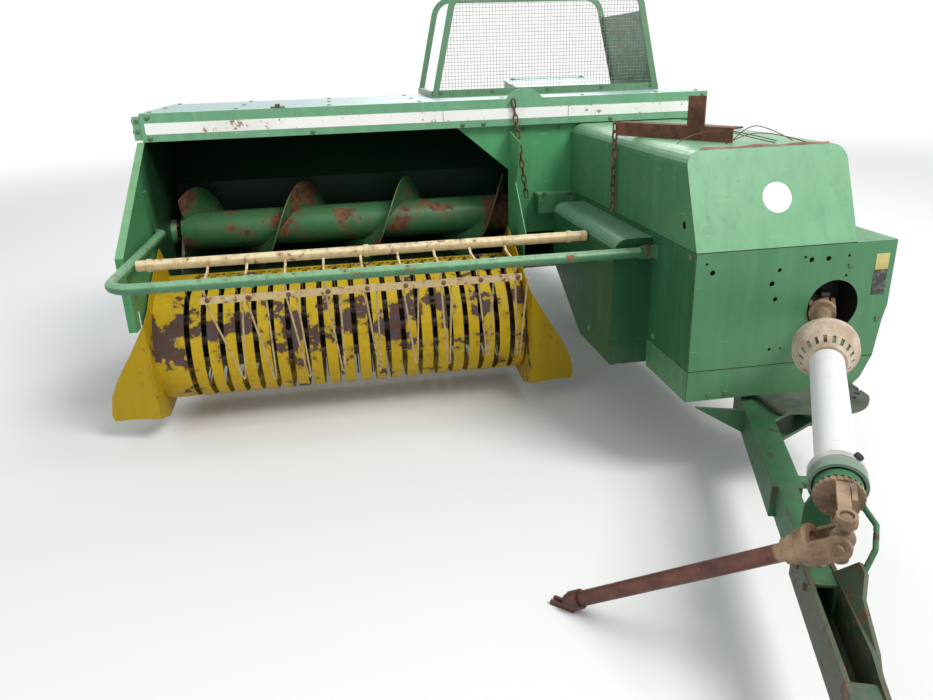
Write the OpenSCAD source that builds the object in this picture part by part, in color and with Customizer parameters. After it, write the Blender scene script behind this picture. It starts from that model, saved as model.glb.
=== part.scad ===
// Square baler that is towed and driven by a shaft, parked on its wheels and jack.
// X runs across the machine, Y from the hitch to the rear, and Z is up from the ground.
// The layout is measured from the lower front corner of the front shield, on the pickup side.

/* [Bale case] */
// Inside width of the bale case
case_w = 460; // [440:5:480]
// Inside height of the bale case
case_h = 360; // [350:5:370]
// Height of the case floor above the ground
case_z = 540; // [535:1:545]
// Plate thickness of the bale case
case_t = 8; // [6:1:10]
// Distance from the shield's corner to the case's inside
case_x = 48; // [40:1:56]
// Front end of the bale case
case_front = 700; // [650:10:760]
// Rear end of the bale case
case_rear = 3800; // [3700:10:3900]
// Distance between the two needles
needle_gap = 230; // [210:5:250]

/* [Front shield] */
// Width of the lower front panel
shield_w = 703; // [690:1:720]
// Height of the lower panel's top edge
shield_top = 835; // [825:1:845]
// Height of the skirt's lower edge
skirt_bottom = 322; // [316:1:328]
// Height of the seam between panel and skirt
skirt_seam = 431; // [420:1:440]
// Depth of the shield's side panel
shield_depth = 348; // [330:1:365]
// Width of the upper hood
hood_w = 556; // [540:1:570]
// Height of the hood's top
hood_top = 1137; // [1110:1:1140]
// How far the hood's front leans back
hood_lean = 130; // [100:1:160]
// Sheet thickness of shields and hoods
sheet_t = 4; // [3:0.5:5]
// Radius of the drive opening in the front panel
drive_hole_r = 92; // [85:1:100]
// Height of the drive opening's centre
drive_z = 620; // [612:1:628]

/* [Feeder] */
// Front face of the feeder's wall and beam
wall_y = 1370; // [1350:5:1390]
// Outer face of the end wall
end_x = -1893; // [-1900:1:-1888]
// Height of the feeder's roof
roof_z = 1259; // [1250:1:1270]
// Depth of the feeder's roof
roof_depth = 780; // [760:5:800]
// Height of the top beam
beam_h = 117; // [105:1:125]
// Right end of the top beam
beam_end_x = 650; // [645:1:660]
// Height of the white stripe
stripe_h = 46; // [40:1:52]
// Height of the step box's top
step_z = 832; // [825:1:840]
// Auger axis, height above the ground
auger_z = 700; // [695:1:705]
// Auger axis, distance from the front shield
auger_y = 1600; // [1595:1:1610]
// Radius of the auger tube
auger_tube_r = 89; // [80:1:95]
// Outer radius of the auger flight
auger_r = 205; // [195:1:208]
// Pitch of the auger flight
auger_pitch = 500; // [450:10:550]

/* [Pickup] */
// Pitch of the stripper bands
band_pitch = 66.7; // [65:0.1:68]
// Number of stripper bands
band_count = 21; // [19:1:21]
// Width of one stripper band
band_w = 45; // [42:1:46]
// Sheet thickness of the bands
band_t = 4; // [3:0.5:4]
// Radius of the bands' front bend
band_r = 234; // [230:1:238]
// Height of the reel's axis
reel_z = 330; // [328:1:335]
// Distance of the reel's axis from the front shield
reel_y = 1050; // [1045:1:1055]
// Radius at the tips of the tines
tine_r = 282; // [275:1:284]
// Radius of the closing sheet behind the reel
back_r = 287; // [287:1:289]

/* [Tongue and drive] */
// Distance of the tongue's pivot from the shield's corner
pivot_x = 485; // [475:1:492]
// Distance of the tongue's pivot behind the front panel
pivot_y = 40; // [35:1:45]
// Angle of the parked tongue from straight ahead
tongue_a = 20.2; // [18:0.1:22]
// Width of the tongue's tube
tongue_w = 82; // [80:1:86]
// Height of the tongue's tube
tongue_h = 102; // [98:1:106]
// Outer width of the hitch channel
channel_w = 72; // [70:1:74]
// Height of the tongue's top face
tongue_top = 300; // [296:1:302]
// Length from the pivot to the hitch pin
hitch_y = 1650; // [1600:5:1700]
// Radius of the hitch pin's hole
hitch_r = 16; // [14:0.5:17]
// Radius of the drive shaft's shield tube
shield_r = 48; // [45:1:50]
// Radius of the half shaft
half_r = 21; // [19:1:23]

/* [Wheels] */
// Distance of the axle behind the front panel
axle_y = 1950; // [1940:1:1960]
// Outer radius of the case side's tyre
left_r = 380; // [375:1:384]
// Width of the case side's tyre
left_w = 264; // [250:1:270]
// Outer radius of the pickup side's tyre
right_r = 335; // [330:1:338]
// Width of the pickup side's tyre
right_w = 184; // [178:1:190]
// Radius of the case side's rim
left_rim_r = 178; // [175:1:182]
// Radius of the pickup side's rim
right_rim_r = 190; // [186:1:194]

/* [Guards] */
// Width of the knotter guard at its foot
guard_w = 1166; // [1140:1:1180]
// Height of the knotter guard
guard_h = 490; // [460:1:510]
// Depth of the knotter guard
guard_d = 620; // [600:1:640]
// Width of the guard's flat bars
guard_bar = 30; // [26:1:34]
// Radius of the green guard rail
rail_r = 19; // [16:1:21]
// Height of the guard rail
rail_z = 770; // [765:1:775]
// Radius of the windguard's pipe
pipe_r = 20; // [18:1:22]

/* [Hidden] */

$fn = 48;
green = [0.20, 0.52, 0.28];
dark_green = [0.12, 0.38, 0.20];
yellow = [0.80, 0.62, 0.12];
cream = [0.84, 0.78, 0.58];
rust = [0.35, 0.20, 0.14];
tan = [0.62, 0.48, 0.34];
pale = [0.88, 0.86, 0.80];
rubber = [0.09, 0.09, 0.09];
steel = [0.45, 0.46, 0.46];
dark = [0.07, 0.08, 0.07];

fit = 0.1;              // running gap of a pin in its bore
run_gap = 6;            // gap between pieces that move past each other

case_in_x1 = case_x + case_w;
case_out_x0 = case_x - case_t;
case_out_x1 = case_in_x1 + case_t;
case_mid = case_x + case_w / 2;
case_low = case_z - case_t;
case_high = case_z + case_h;
case_top = case_high + case_t;

end_t = 6;
end_in = end_x + end_t;
roof_t = 5;
beam_t = 40;
beam_low = roof_z - beam_h;
wall_t = 6;
disc_z = 985;           // centre of the white disc on the hood

band_x0 = -1744;
band_x1 = band_x0 + band_count * band_pitch;
pickup_x0 = end_in + run_gap + 1;
pickup_t = 4;
pickup_pivot = [1300, 470];
pickup_pin_r = 12;
auger_pin_r = 22;

left_x0 = 600;
left_x1 = left_x0 + left_w;
right_x1 = end_x - 12;
right_x0 = right_x1 - right_w;

arm_x = -203;           // the tongue's tube lies beside its pivot
drive_joint = [-200, -1152, 452.5];
nose_r = channel_w / 2; // round end of the hitch
hitch_pin = [pivot_x + arm_x * cos(tongue_a) - hitch_y * sin(tongue_a),
             pivot_y - arm_x * sin(tongue_a) - hitch_y * cos(tongue_a)];

rear_end = case_rear;
front_end = hitch_pin[1] - nose_r;
mid_x = (right_x0 + left_x1) / 2;
mid_y = (front_end + rear_end) / 2;

// Moves the layout so that the origin lies on the ground under the machine's middle
module at_frame() translate([-mid_x, -mid_y, 0]) children();

// Points of an arc round [x, y] from angle a to angle b
function arc(x, y, r, a, b, n = 8) = [for (i = [0:n]) [x + r * cos(a + (b - a) * i / n),
                                                      y + r * sin(a + (b - a) * i / n)]];

// A box from its low corner to its high corner
module span(low, high) translate(low) cube(high - low);

// Extrudes a YZ outline along X from x0 to x1
module along_x(x0, x1) translate([x0, 0, 0]) rotate([90, 0, 90]) linear_extrude(x1 - x0) children();

// Extrudes an XZ outline along Y from y0 to y1
module along_y(y0, y1) translate([0, y1, 0]) rotate([90, 0, 0]) linear_extrude(y1 - y0) children();

// A cylinder along X from x0 to x1 round the line [y, z]
module rod_x(x0, x1, y, z, r, fn = 32) translate([x0, y, z]) rotate([0, 90, 0])
    cylinder(h = x1 - x0, r = r, $fn = fn);

// A round bar between two points
module bar(p, q, r, fn = 12) {
    d = q - p;
    l = norm(d);
    translate(p) rotate([0, acos(d[2] / l), atan2(d[1], d[0])]) cylinder(h = l, r = r, $fn = fn);
}

// Main frame: two rails under the bale case, a lower pair in front and their cross members
rail_w = 60;
rail_h = 90;
rail_top = case_low;
rail_low = rail_top - rail_h;
sub_low = skirt_bottom;
sub_high = sub_low + rail_h;
sub_x = [case_out_x0, case_out_x1 - rail_w];
module channel_rail(x, y0, y1, z0, open) {
    t = 8;
    x0 = open > 0 ? x + t : x - 1;
    x1 = open > 0 ? x + rail_w + 1 : x + rail_w - t;
    difference() {
        span([x, y0, z0], [x + rail_w, y1, z0 + rail_h]);
        span([x0, y0 - 1, z0 + t], [x1, y1 + 1, z0 + rail_h - t]);
    }
}
module main_frame() color(dark_green) at_frame() {
    channel_rail(sub_x[0], 330, axle_y + 50, rail_low, 1);
    channel_rail(sub_x[1], 330, axle_y + 50, rail_low, -1);
    channel_rail(sub_x[0], sheet_t, 900, sub_low, 1);
    channel_rail(sub_x[1], sheet_t, 900, sub_low, -1);
    for (x = sub_x) for (y = [400, 780]) span([x, y, sub_high], [x + rail_w, y + 90, rail_low]);
    for (y = [24, 780]) span([sub_x[0] + rail_w, y, sub_low], [sub_x[1], y + 60, sub_high]);
    span([sheet_t, 24, sub_low], [sub_x[0], 84, sub_low + 20]);
    for (y = [case_front, 1320, axle_y - 50])
        span([sub_x[0] + rail_w, y, rail_low], [sub_x[1], y + 60, rail_top]);
}

// Swing plate with the king pin that the tongue turns on
plate_t = 12;
plate_low = skirt_bottom - plate_t;
king_r = 25;
tongue_low = tongue_top - tongue_h;
module swing_plate() color(pale) at_frame() {
    difference() {
        translate([0, 0, plate_low]) linear_extrude(plate_t) polygon(concat(
            [[265, 140]], arc(295, -110, 30, 180, 270, 5), arc(470, -20, 165, 270, 335, 6), [[640, 140]]));
        for (a = [-60, -45, -30]) translate([pivot_x + 150 * cos(a), pivot_y + 150 * sin(a), plate_low - 1])
            cylinder(h = plate_t + 2, r = 11, $fn = 24);
    }
    translate([pivot_x, pivot_y, tongue_low - 22]) cylinder(h = plate_low - tongue_low + 22, r = king_r);
    translate([pivot_x, pivot_y, tongue_low - 22]) cylinder(h = 16, r = 40, $fn = 6);
}

// Axle beam across the machine with the two drop plates and wheel spindles
axle_w = 100;
axle_t = 8;
spindle_r = 24;
module axle_beam() color(dark_green) at_frame() {
    x0 = right_x1 + 14;
    x1 = left_x0 - 14;
    difference() {
        span([x0, axle_y - axle_w / 2, rail_low - axle_w], [x1, axle_y + axle_w / 2, rail_low]);
        span([x0 - 1, axle_y - axle_w / 2 + axle_t, rail_low - axle_w + axle_t],
            [x1 + 1, axle_y + axle_w / 2 - axle_t, rail_low - axle_t]);
    }
    span([x0, axle_y - 60, right_r - 60], [x0 + 20, axle_y + 60, rail_low - axle_w]);
    span([x0 - 12, axle_y - 60, right_r - 60], [x0, axle_y + 60, rail_low]);
    span([x1, axle_y - 60, rail_low - axle_w - 20], [x1 + 6, axle_y + 60, rail_low]);
    rod_x(right_x0 + 30, x0 - 12, axle_y, right_r, spindle_r);
    rod_x(x1 + 6, left_x1 - 50, axle_y, left_r, spindle_r);
}

// Wheels: a tyre and a dished rim that turn on the spindle
module tyre(r, rim_r, w) {
    s = w / 2;
    rotate([0, 90, 0]) rotate_extrude($fn = 72) polygon([
        [rim_r, -s * 0.72], [rim_r + 14, -s * 0.86], [(rim_r + r) / 2, -s], [r - 46, -s * 0.97],
        [r - 12, -s * 0.80], [r, -s * 0.58], [r, s * 0.58], [r - 12, s * 0.80],
        [r - 46, s * 0.97], [(rim_r + r) / 2, s], [rim_r + 14, s * 0.86], [rim_r, s * 0.72]]);
}
module rim(rim_r, w, disc_x, hub_x0, hub_x1) {
    s = w * 0.36;
    rotate([0, 90, 0]) rotate_extrude($fn = 72) polygon([[rim_r, -s], [rim_r, s], [rim_r - 10, s],
        [rim_r - 26, s * 0.6], [rim_r - 26, -s * 0.6], [rim_r - 10, -s]]);
    difference() {
        rotate([0, 90, 0]) translate([0, 0, disc_x]) cylinder(h = 8, r = rim_r - 25, $fn = 72);
        for (a = [0:60:300]) rotate([a, 0, 0]) translate([disc_x - 1, 0, 105]) rotate([0, 90, 0])
            cylinder(h = 10, r = 17, $fn = 24);
        translate([disc_x - 1, 0, 0]) rotate([0, 90, 0]) cylinder(h = 10, r = 40, $fn = 32);
    }
    difference() {
        rod_x(hub_x0, hub_x1, 0, 0, 52, 48);
        rod_x(hub_x0 - 1, hub_x1 + 1, 0, 0, spindle_r + fit, 48);
    }
}
module left_tyre() color(rubber) at_frame() translate([(left_x0 + left_x1) / 2, axle_y, left_r])
    tyre(left_r, left_rim_r, left_w);
module left_rim() color(yellow) at_frame() translate([(left_x0 + left_x1) / 2, axle_y, left_r])
    rim(left_rim_r, left_w, 30, -left_w / 2 + 6, 62);
module right_tyre() color(rubber) at_frame() translate([(right_x0 + right_x1) / 2, axle_y, right_r])
    tyre(right_r, right_rim_r, right_w);
module right_rim() color(yellow) at_frame() translate([(right_x0 + right_x1) / 2, axle_y, right_r])
    rim(right_rim_r, right_w, -38, -52, right_w / 2 - 8);

// Bale case: floor, side walls with the feed opening, and a slotted top over the front part
feed_y = [wall_y + 50, auger_y + 225];
top_rear = 2950;
needle_x = [case_mid - needle_gap / 2, case_mid + needle_gap / 2];
needle_t = 14;
needle_pivot = [2480, 620];
needle_r = 430;
slot_w = needle_t + 2 * 8;
needle_pin_r = 16;
arm_t = 12;
pin_out = run_gap + arm_t + 10;
meter_y = top_rear + 200;
meter_z = case_high + 70;
module needle_slots(z0, z1) for (x = needle_x)
    span([x - slot_w / 2, axle_y + 70, z0], [x + slot_w / 2, axle_y + 330, z1]);
module bale_case() color(green) at_frame() {
    difference() {
        union() {
            span([case_out_x0, case_front, case_low], [case_out_x1, case_rear, case_z]);
            span([case_out_x0, case_front, case_z], [case_x, case_rear, case_top]);
            span([case_in_x1, case_front, case_z], [case_out_x1, case_rear, case_top]);
            span([case_x, case_front, case_high], [case_in_x1, top_rear, case_top]);
            for (y = [1320, 2600, 3100, 3500, case_rear - 24]) {
                span([case_out_x0 - 22, y, case_low], [case_out_x0, y + 24, case_top]);
                span([case_out_x1, y, case_low], [case_out_x1 + 22, y + 24, case_top]);
            }
            rod_x(case_out_x0 - pin_out, case_out_x0, needle_pivot[0], needle_pivot[1], needle_pin_r);
            rod_x(case_out_x1, case_out_x1 + pin_out, needle_pivot[0], needle_pivot[1], needle_pin_r);
            for (x = [case_mid - 44, case_mid + 36]) along_x(x, x + 8) polygon([[top_rear - 90, case_top],
                [top_rear, case_top], [meter_y + 20, meter_z - 16], [meter_y + 20, meter_z + 20],
                [meter_y - 20, meter_z + 20]]);
            rod_x(case_mid - 40, case_mid + 40, meter_y, meter_z, 12);
        }
        span([case_out_x0 - 1, feed_y[0], case_z], [case_x + 1, feed_y[1], case_high]);
        needle_slots(case_low - 1, case_z + 1);
        needle_slots(case_high - 1, case_top + 1);
    }
}

// Tension rails that squeeze the bale at the rear, with their cross bars
squeeze_y = case_rear - 160;
squeeze_w = 60;
screw_out = 60;
module tension_rails() color(green) at_frame() {
    for (x = [case_mid - 110, case_mid + 110]) {
        difference() {
            span([x - 30, top_rear + 6, case_high - 34], [x + 30, case_rear - 20, case_high + 12]);
            span([x - 22, top_rear + 5, case_high - 26], [x + 22, case_rear - 19, case_high + 13]);
        }
    }
    for (z = [case_high + 12, case_low - 50])
        span([case_out_x0 - screw_out - 30, squeeze_y - squeeze_w / 2, z],
            [case_out_x1 + screw_out + 30, squeeze_y + squeeze_w / 2, z + 50]);
}
spring_low = 88;        // spring cup, coils, crank and handle above the case's inside
spring_h = 120;
spring_pitch = 17;
crank_z = 242;
crank_arm = 140;
handle_h = 68;
module tension_screws() color(rust) at_frame() for (x = [case_out_x0 - screw_out, case_out_x1 + screw_out])
    translate([x, squeeze_y, 0]) {
    translate([0, 0, case_low]) cylinder(h = case_high + 12 - case_low, r = 10, $fn = 24);
    translate([0, 0, case_high + 62]) cylinder(h = spring_low - 62, r = 30, $fn = 32);
    translate([0, 0, case_high + spring_low]) difference() {
        cylinder(h = spring_h, r = 32, $fn = 32);
        translate([0, 0, 8]) cylinder(h = spring_h - 16, r = 33.5, $fn = 32);
    }
    translate([0, 0, case_high + spring_low + 8]) cylinder(h = spring_h - 16, r = 10, $fn = 24);
    for (i = [0:5]) translate([0, 0, case_high + spring_low + 10 + i * spring_pitch])
        cylinder(h = 9, r = 28, $fn = 32);
    bar([0, 0, case_high + spring_low + spring_h], [0, 0, case_high + crank_z + 8], 9);
    bar([0, 0, case_high + crank_z], [0, -crank_arm, case_high + crank_z], 9);
    bar([0, 6 - crank_arm, case_high + crank_z], [0, 6 - crank_arm, case_high + crank_z + handle_h], 9);
}

// Plunger: the ram that packs the bale, on runners in the case
ram_y = case_front + 160;
ram_l = 360;
ram_t = 40;
module plunger() color(steel) at_frame() difference() {
    union() {
        for (y = [ram_y, ram_y + ram_l - ram_t])
            span([case_x + run_gap, y, case_z + run_gap],
                [case_in_x1 - run_gap, y + ram_t, case_high - run_gap]);
        for (x = [case_x + run_gap, case_in_x1 - run_gap - 20])
            span([x, ram_y + ram_t, case_z + 40], [x + 20, ram_y + ram_l - ram_t, case_z + 120]);
        for (x = [case_x + 20, case_in_x1 - 60])
            span([x, ram_y, case_z + fit], [x + 40, ram_y + ram_l, case_z + run_gap + 14]);
    }
    for (x = needle_x)
        span([x - slot_w / 2, ram_y + ram_l - 24, case_z - 1], [x + slot_w / 2, ram_y + ram_l + 1, case_top]);
}

// Front shield: lower panel with its clipped corner, drive opening and service holes
clip = [[shield_w, skirt_seam + 180], [shield_w - 12, skirt_seam + 127], [shield_w - 26, skirt_seam]];
hole_x = pivot_x + 14;
panel_holes = [
    // x, z, radius
    [38, 798, 5], [60, 768, 9], [270, 716, 9], [292, 760, 7], [288, 662, 8], [378, 797, 5],
    [401, 787, 9], [461, 787, 9], [534, 792, 5], [533, 725, 5], [287, 487, 6], [328, 487, 4]
];
module front_panel() color(green) at_frame() difference() {
    along_y(0, sheet_t) polygon(concat([[0, skirt_seam], [0, shield_top], [shield_w, shield_top]], clip));
    translate([hole_x, -1, drive_z]) rotate([-90, 0, 0])
        cylinder(h = sheet_t + 2, r = drive_hole_r, $fn = 64);
    for (h = panel_holes) translate([h[0], -1, h[1]]) rotate([-90, 0, 0])
        cylinder(h = sheet_t + 2, r = h[2], $fn = 16);
}

// Dark collar behind the drive opening, with the gearbox shaft through its back
fly_y = 160;
collar_r = drive_hole_r + 24;
collar_back = fly_y - 24;
module drive_collar() color(dark) at_frame() translate([hole_x, 0, drive_z]) rotate([-90, 0, 0])
    difference() {
    translate([0, 0, sheet_t]) cylinder(h = collar_back - sheet_t, r = collar_r, $fn = 64);
    translate([0, 0, sheet_t - 1]) cylinder(h = collar_back - sheet_t - 3, r = collar_r - 4, $fn = 64);
    translate([pivot_x - hole_x, 0, 0]) cylinder(h = collar_back + 1, r = 56, $fn = 48);
}
side_depth = 620;
module side_panels() color(green) at_frame() {
    span([0, sheet_t, skirt_seam], [sheet_t, shield_depth, shield_top]);
    span([0, shield_depth, cover_top - 25], [sheet_t, hood_back, shield_top]);
    span([0, cover_back - 25, 640], [sheet_t, hood_back, cover_top]);
    span([shield_w - sheet_t, sheet_t, skirt_seam + 185], [shield_w, side_depth, shield_top]);
    span([hood_w, sheet_t, shield_top - sheet_t], [shield_w - sheet_t, side_depth, shield_top]);
    span([hood_w, side_depth, skirt_seam + 185], [shield_w, side_depth + sheet_t, shield_top]);
}
module lower_skirt() color(green) at_frame() {
    along_y(0, sheet_t) polygon([[0, skirt_bottom], [0, skirt_seam], [shield_w - 26, skirt_seam],
        [shield_w - 60, skirt_bottom + 30], [shield_w - 90, skirt_bottom]]);
    span([0, sheet_t, skirt_bottom], [sheet_t, shield_depth, skirt_seam]);
}

// Upper hood: one folded sheet with rounded top edges and a leaning front
module hood_outline(d) polygon(concat([[d, shield_top], [d, hood_top - 50]],
    arc(50, hood_top - 50, 50 - d, 180, 90, 6), arc(hood_w - 50, hood_top - 50, 50 - d, 90, 0, 6),
    [[hood_w - d, shield_top]]));
lean = atan(hood_lean / (hood_top - shield_top));
hood_back = wall_y - wall_t;
module before_lean(d) translate([-1, 0, shield_top]) rotate([-lean, 0, 0])
    translate([0, -500, -200]) cube([shield_w, 500 + d, 900]);
module upper_hood() color(green) at_frame() {
    difference() {
        along_y(0, hood_back) hood_outline(0);
        difference() {
            translate([0, 0, -0.01]) along_y(-1, hood_back + 1) hood_outline(sheet_t);
            before_lean(sheet_t);
        }
        before_lean(0);
        translate([-1, 105, 905]) rotate([0, 90, 0]) cylinder(h = sheet_t + 2, r = 14, $fn = 24);
    }
}

// Cover of the side drive, with a rounded top edge
cover_w = 144;
cover_back = 1140;
cover_top = 815;
cover_base = 338;
module cover_outline(d) polygon(concat(
    [[-d, cover_base + d], [-cover_w + d, cover_base + d], [-cover_w + d, cover_top - 50]],
    arc(-cover_w + 50, cover_top - 50, 50 - d, 180, 90, 6), [[-d, cover_top - d]]));
module drive_cover() color(green) at_frame() {
    difference() {
        along_y(shield_depth, cover_back) cover_outline(0);
        along_y(shield_depth + sheet_t, cover_back - sheet_t) cover_outline(sheet_t);
        along_x(-cover_w - 1, 1) polygon([[640, 300], [cover_back + 1, 300], [cover_back + 1, 560]]);
    }
    rod_x(pipe_x1 - 40, -cover_w, pipe_y, pipe_z, pipe_pin_r);
}

// Gearbox and flywheel behind the front panel
cross_r = 11;
module gearbox() color(steel) at_frame() {
    span([case_x + 12, 340, rail_top], [case_in_x1 - 12, 640, 800]);
    span([pivot_x - 60, 300, drive_z - 60], [pivot_x + 60, 340, drive_z + 60]);
    translate([pivot_x, 300, drive_z]) rotate([90, 0, 0]) cylinder(h = 190, r = 24);
    translate([pivot_x, 112, drive_z]) rotate([90, 0, 0]) cylinder(h = 24, r = 44);
    for (z = [drive_z - 37, drive_z + 37])
        span([pivot_x - 16, pivot_y - 16, z - 6], [pivot_x + 16, 90, z + 6]);
    translate([pivot_x, pivot_y, drive_z - 40]) cylinder(h = 80, r = cross_r);
    span([case_mid - 90, 640, 600], [case_mid + 90, case_front, 760]);
}
module flywheel() color(rust) at_frame() translate([pivot_x, fly_y, drive_z]) rotate([-90, 0, 0])
    difference() {
    union() {
        difference() {
            cylinder(h = 70, r = 190, $fn = 96);
            translate([0, 0, -1]) cylinder(h = 27, r = 155, $fn = 96);
            translate([0, 0, 44]) cylinder(h = 27, r = 155, $fn = 96);
        }
        translate([0, 0, -10]) cylinder(h = 100, r = 60);
    }
    translate([0, 0, -11]) cylinder(h = 102, r = 24 + fit);
    for (a = [0:60:300]) rotate([0, 0, a]) translate([108, 0, 0]) cylinder(h = 70, r = 30, $fn = 32);
}

// Feeder house: trough round the auger, back wall and sloping rear
trough_r = 220;
trough_t = 5;
trough_y0 = wall_y - 25;
trough_low = auger_z - trough_r - trough_t;
feeder_x1 = case_out_x0;
slope_z = 900;
roof_rear = wall_y + roof_depth;
module feeder_profile() {
    back = auger_y + trough_r;
    translate([trough_y0, trough_low]) square([auger_y - trough_y0, trough_t]);
    difference() {
        translate([auger_y, auger_z]) circle(r = trough_r + trough_t, $fn = 96);
        translate([auger_y, auger_z]) circle(r = trough_r, $fn = 96);
        translate([auger_y - 400, auger_z - 400]) square([400, 800]);
        translate([auger_y - 1, auger_z]) square([400, 400]);
    }
    polygon([[back, auger_z], [back + trough_t, auger_z], [back + trough_t, slope_z - 2],
        [roof_rear, roof_z - roof_t - 7], [roof_rear, roof_z - roof_t], [roof_rear - 4, roof_z - roof_t],
        [back, slope_z]]);
}
module feeder_house() color(green) at_frame() along_x(end_in, feeder_x1) feeder_profile();

// Deck: roof of the feeder, with the cut-out over the knotters and the auger's hanger
hanger_x = -200;
module deck() color(green) at_frame() {
    rear = wall_y + guard_front + guard_d;
    low = roof_z - roof_t;
    difference() {
        span([end_in, wall_y, low], [beam_end_x - 10, rear, roof_z]);
        span([end_in - 1, roof_rear, low - 1], [case_out_x1, rear + 1, roof_z + 1]);
        span([0, 1990, low - 1], [case_out_x1, roof_rear + 1, roof_z + 1]);
    }
    difference() {
        along_x(hanger_x, hanger_x + 10) polygon([[auger_y - 40, low], [auger_y - 36, auger_z - 40],
            [auger_y + 36, auger_z - 40], [auger_y + 40, low]]);
        rod_x(hanger_x - 1, hanger_x + 11, auger_y, auger_z, auger_pin_r + fit);
    }
}

// Top beam: channel across the front, with the hump and the end bracket
module front_beam() color(green) at_frame() {
    x0 = end_x;
    peg = chain_a[0] - peg_rise * (chain_a[1] - chain_a[0]) / norm(chain_a[1] - chain_a[0]);
    difference() {
        span([x0, wall_y - beam_t, beam_low], [beam_end_x, wall_y, roof_z]);
        span([x0 + 6, wall_y - beam_t + 5, beam_low + 5], [beam_end_x - 6, wall_y + 1, roof_z - 5]);
    }
    along_y(wall_y - beam_t, wall_y - beam_t + 5)
        polygon(concat([[-316, roof_z - 20]], arc(-230, roof_z - 60, 104, 144, 36, 8),
            [[-144, roof_z - 20]]));
    translate([peg[0], wall_y - beam_t, peg[2]]) rotate([90, 0, 0]) cylinder(h = 24, r = peg_r, $fn = 24);
    span([x0 - 32, wall_y - beam_t + 4, beam_low + 8], [x0, wall_y - 4, roof_z - 12]);
}
module beam_stripe() color(pale) at_frame() {
    span([end_x + 17, wall_y - beam_t - 1.2, beam_low + 30],
        [beam_end_x - 18, wall_y - beam_t, beam_low + 30 + stripe_h]);
    translate([292, (disc_z - shield_top) * tan(lean), disc_z]) rotate([90 - lean, 0, 0])
        translate([0, 0, 0.02]) cylinder(h = 1.2, r = 50, $fn = 48);
}

// Feeder wall right of the mouth, with the clipped upper corner
mouth_x = -300;
module feeder_wall() color(green) at_frame() along_y(wall_y - wall_t, wall_y)
    polygon([[-539, beam_low], [mouth_x, 942], [mouth_x, 640], [0, 640], [case_out_x0 - 6, 560],
        [case_out_x0 - 6, case_top], [beam_end_x - 10, case_top], [beam_end_x - 10, beam_low]]);

// End wall on the pickup side, with its flange, the reinforcing plate inside, and the notch that
// the pickup's flared point passes through when the pickup lifts
notch_y = [752, 786];
notch_top = 566;
function end_edge(d) = [[wall_y - beam_t + d, beam_low], [690 + d, 790], [690 + d, 505]];
module end_wall() color(green) at_frame() {
    along_x(end_x, end_in) polygon(concat(end_edge(0), [[notch_y[0], 502], [notch_y[0], notch_top],
        [notch_y[1], notch_top], [notch_y[1], 500], [900, 495], [trough_y0, trough_low],
        [auger_y, trough_low],
        [auger_y + trough_r + trough_t, auger_z], [auger_y + trough_r + trough_t, slope_z],
        [roof_rear, roof_z - roof_t - 7], [roof_rear, roof_z], [wall_y, roof_z], [wall_y, beam_low]]));
    along_x(end_x - 24, end_x) polygon(concat(end_edge(0), [for (i = [2:-1:0]) end_edge(6)[i]]));
    along_x(end_in, end_in + 8) polygon([[1138, 960], [1190, 960], [1290, 720], [1245, 720], [1215, 790]]);
    rod_x(end_in, end_in + 20, auger_y, auger_z, 60);
    rod_x(end_x, end_in, pickup_pivot[0], pickup_pivot[1], 32);
    rod_x(end_in, pickup_x0 + pickup_t - fit, pickup_pivot[0], pickup_pivot[1], pickup_pin_r);
}

// Inner side sheet at the mouth's right end, with a curved front edge
module inner_side_sheet() color(green) at_frame() {
    rod_x(band_x1 + fit, mouth_x + 2, pickup_pivot[0], pickup_pivot[1], pickup_pin_r);
    along_x(mouth_x + 2, mouth_x + 6) polygon(concat(
    [[wall_y - 6, 1120]], arc(wall_y + 190, 1160, 420, 190, 218, 8), arc(1000, 640, 70, 60, 0, 4),
    [[1085, 560], [1250, 450], [trough_y0 - fit, 450], [trough_y0 - fit, trough_low + trough_t + run_gap],
        [wall_y - 6, trough_low + trough_t + run_gap]]));
}

// Step box on the feeder wall
step_w = 177;
step_d = 96;
step_h = 89;
module step_box() color(green) at_frame() difference() {
    span([-step_w, wall_y - step_d, step_z - step_h], [0, wall_y - wall_t, step_z]);
    span([sheet_t - step_w, wall_y - step_d + sheet_t, step_z - step_h - 1],
        [-sheet_t, wall_y - wall_t - 1, step_z - sheet_t]);
}

// Shield over the side drives on the case side
case_shield_low = case_high - 100;
case_shield_rear = wall_y + 620;
module left_shield() color(green) at_frame() difference() {
    span([case_out_x1, wall_y, case_shield_low], [beam_end_x - 10, case_shield_rear, roof_z - roof_t]);
    span([case_out_x1 - 1, wall_y + sheet_t, case_shield_low + sheet_t],
        [beam_end_x - 10 - sheet_t, case_shield_rear - sheet_t, roof_z - roof_t + 1]);
}

// Guard rail: a bent tube from the end wall round the corner to the front shield
module guard_rail() color(dark_green) at_frame() {
    bend = 90;
    x0 = end_in + 27;
    y0 = 318;
    translate([x0, y0 + bend, rail_z]) rotate([-90, 0, 0])
        cylinder(h = 1219 - y0 - bend, r = rail_r, $fn = 32);
    translate([x0 + bend, y0 + bend, rail_z]) rotate([0, 0, 180]) rotate_extrude(angle = 90, $fn = 48)
        translate([bend, 0]) circle(r = rail_r, $fn = 32);
    rod_x(x0 + bend, -60, y0, rail_z, rail_r);
    span([-60, y0 - 5, rail_z - 22], [-4, y0 + 5, rail_z + 22]);
    span([-4, y0 - 22, rail_z - 24], [0, y0 + 22, rail_z + 24]);
    rod_x(x0 + rail_r - 4, pipe_x0 + 40, pipe_y, pipe_z, pipe_pin_r);
    span([end_in + 8, 1200, rail_z - 18], [x0 - 6, 1236, rail_z + 18]);
}

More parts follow.
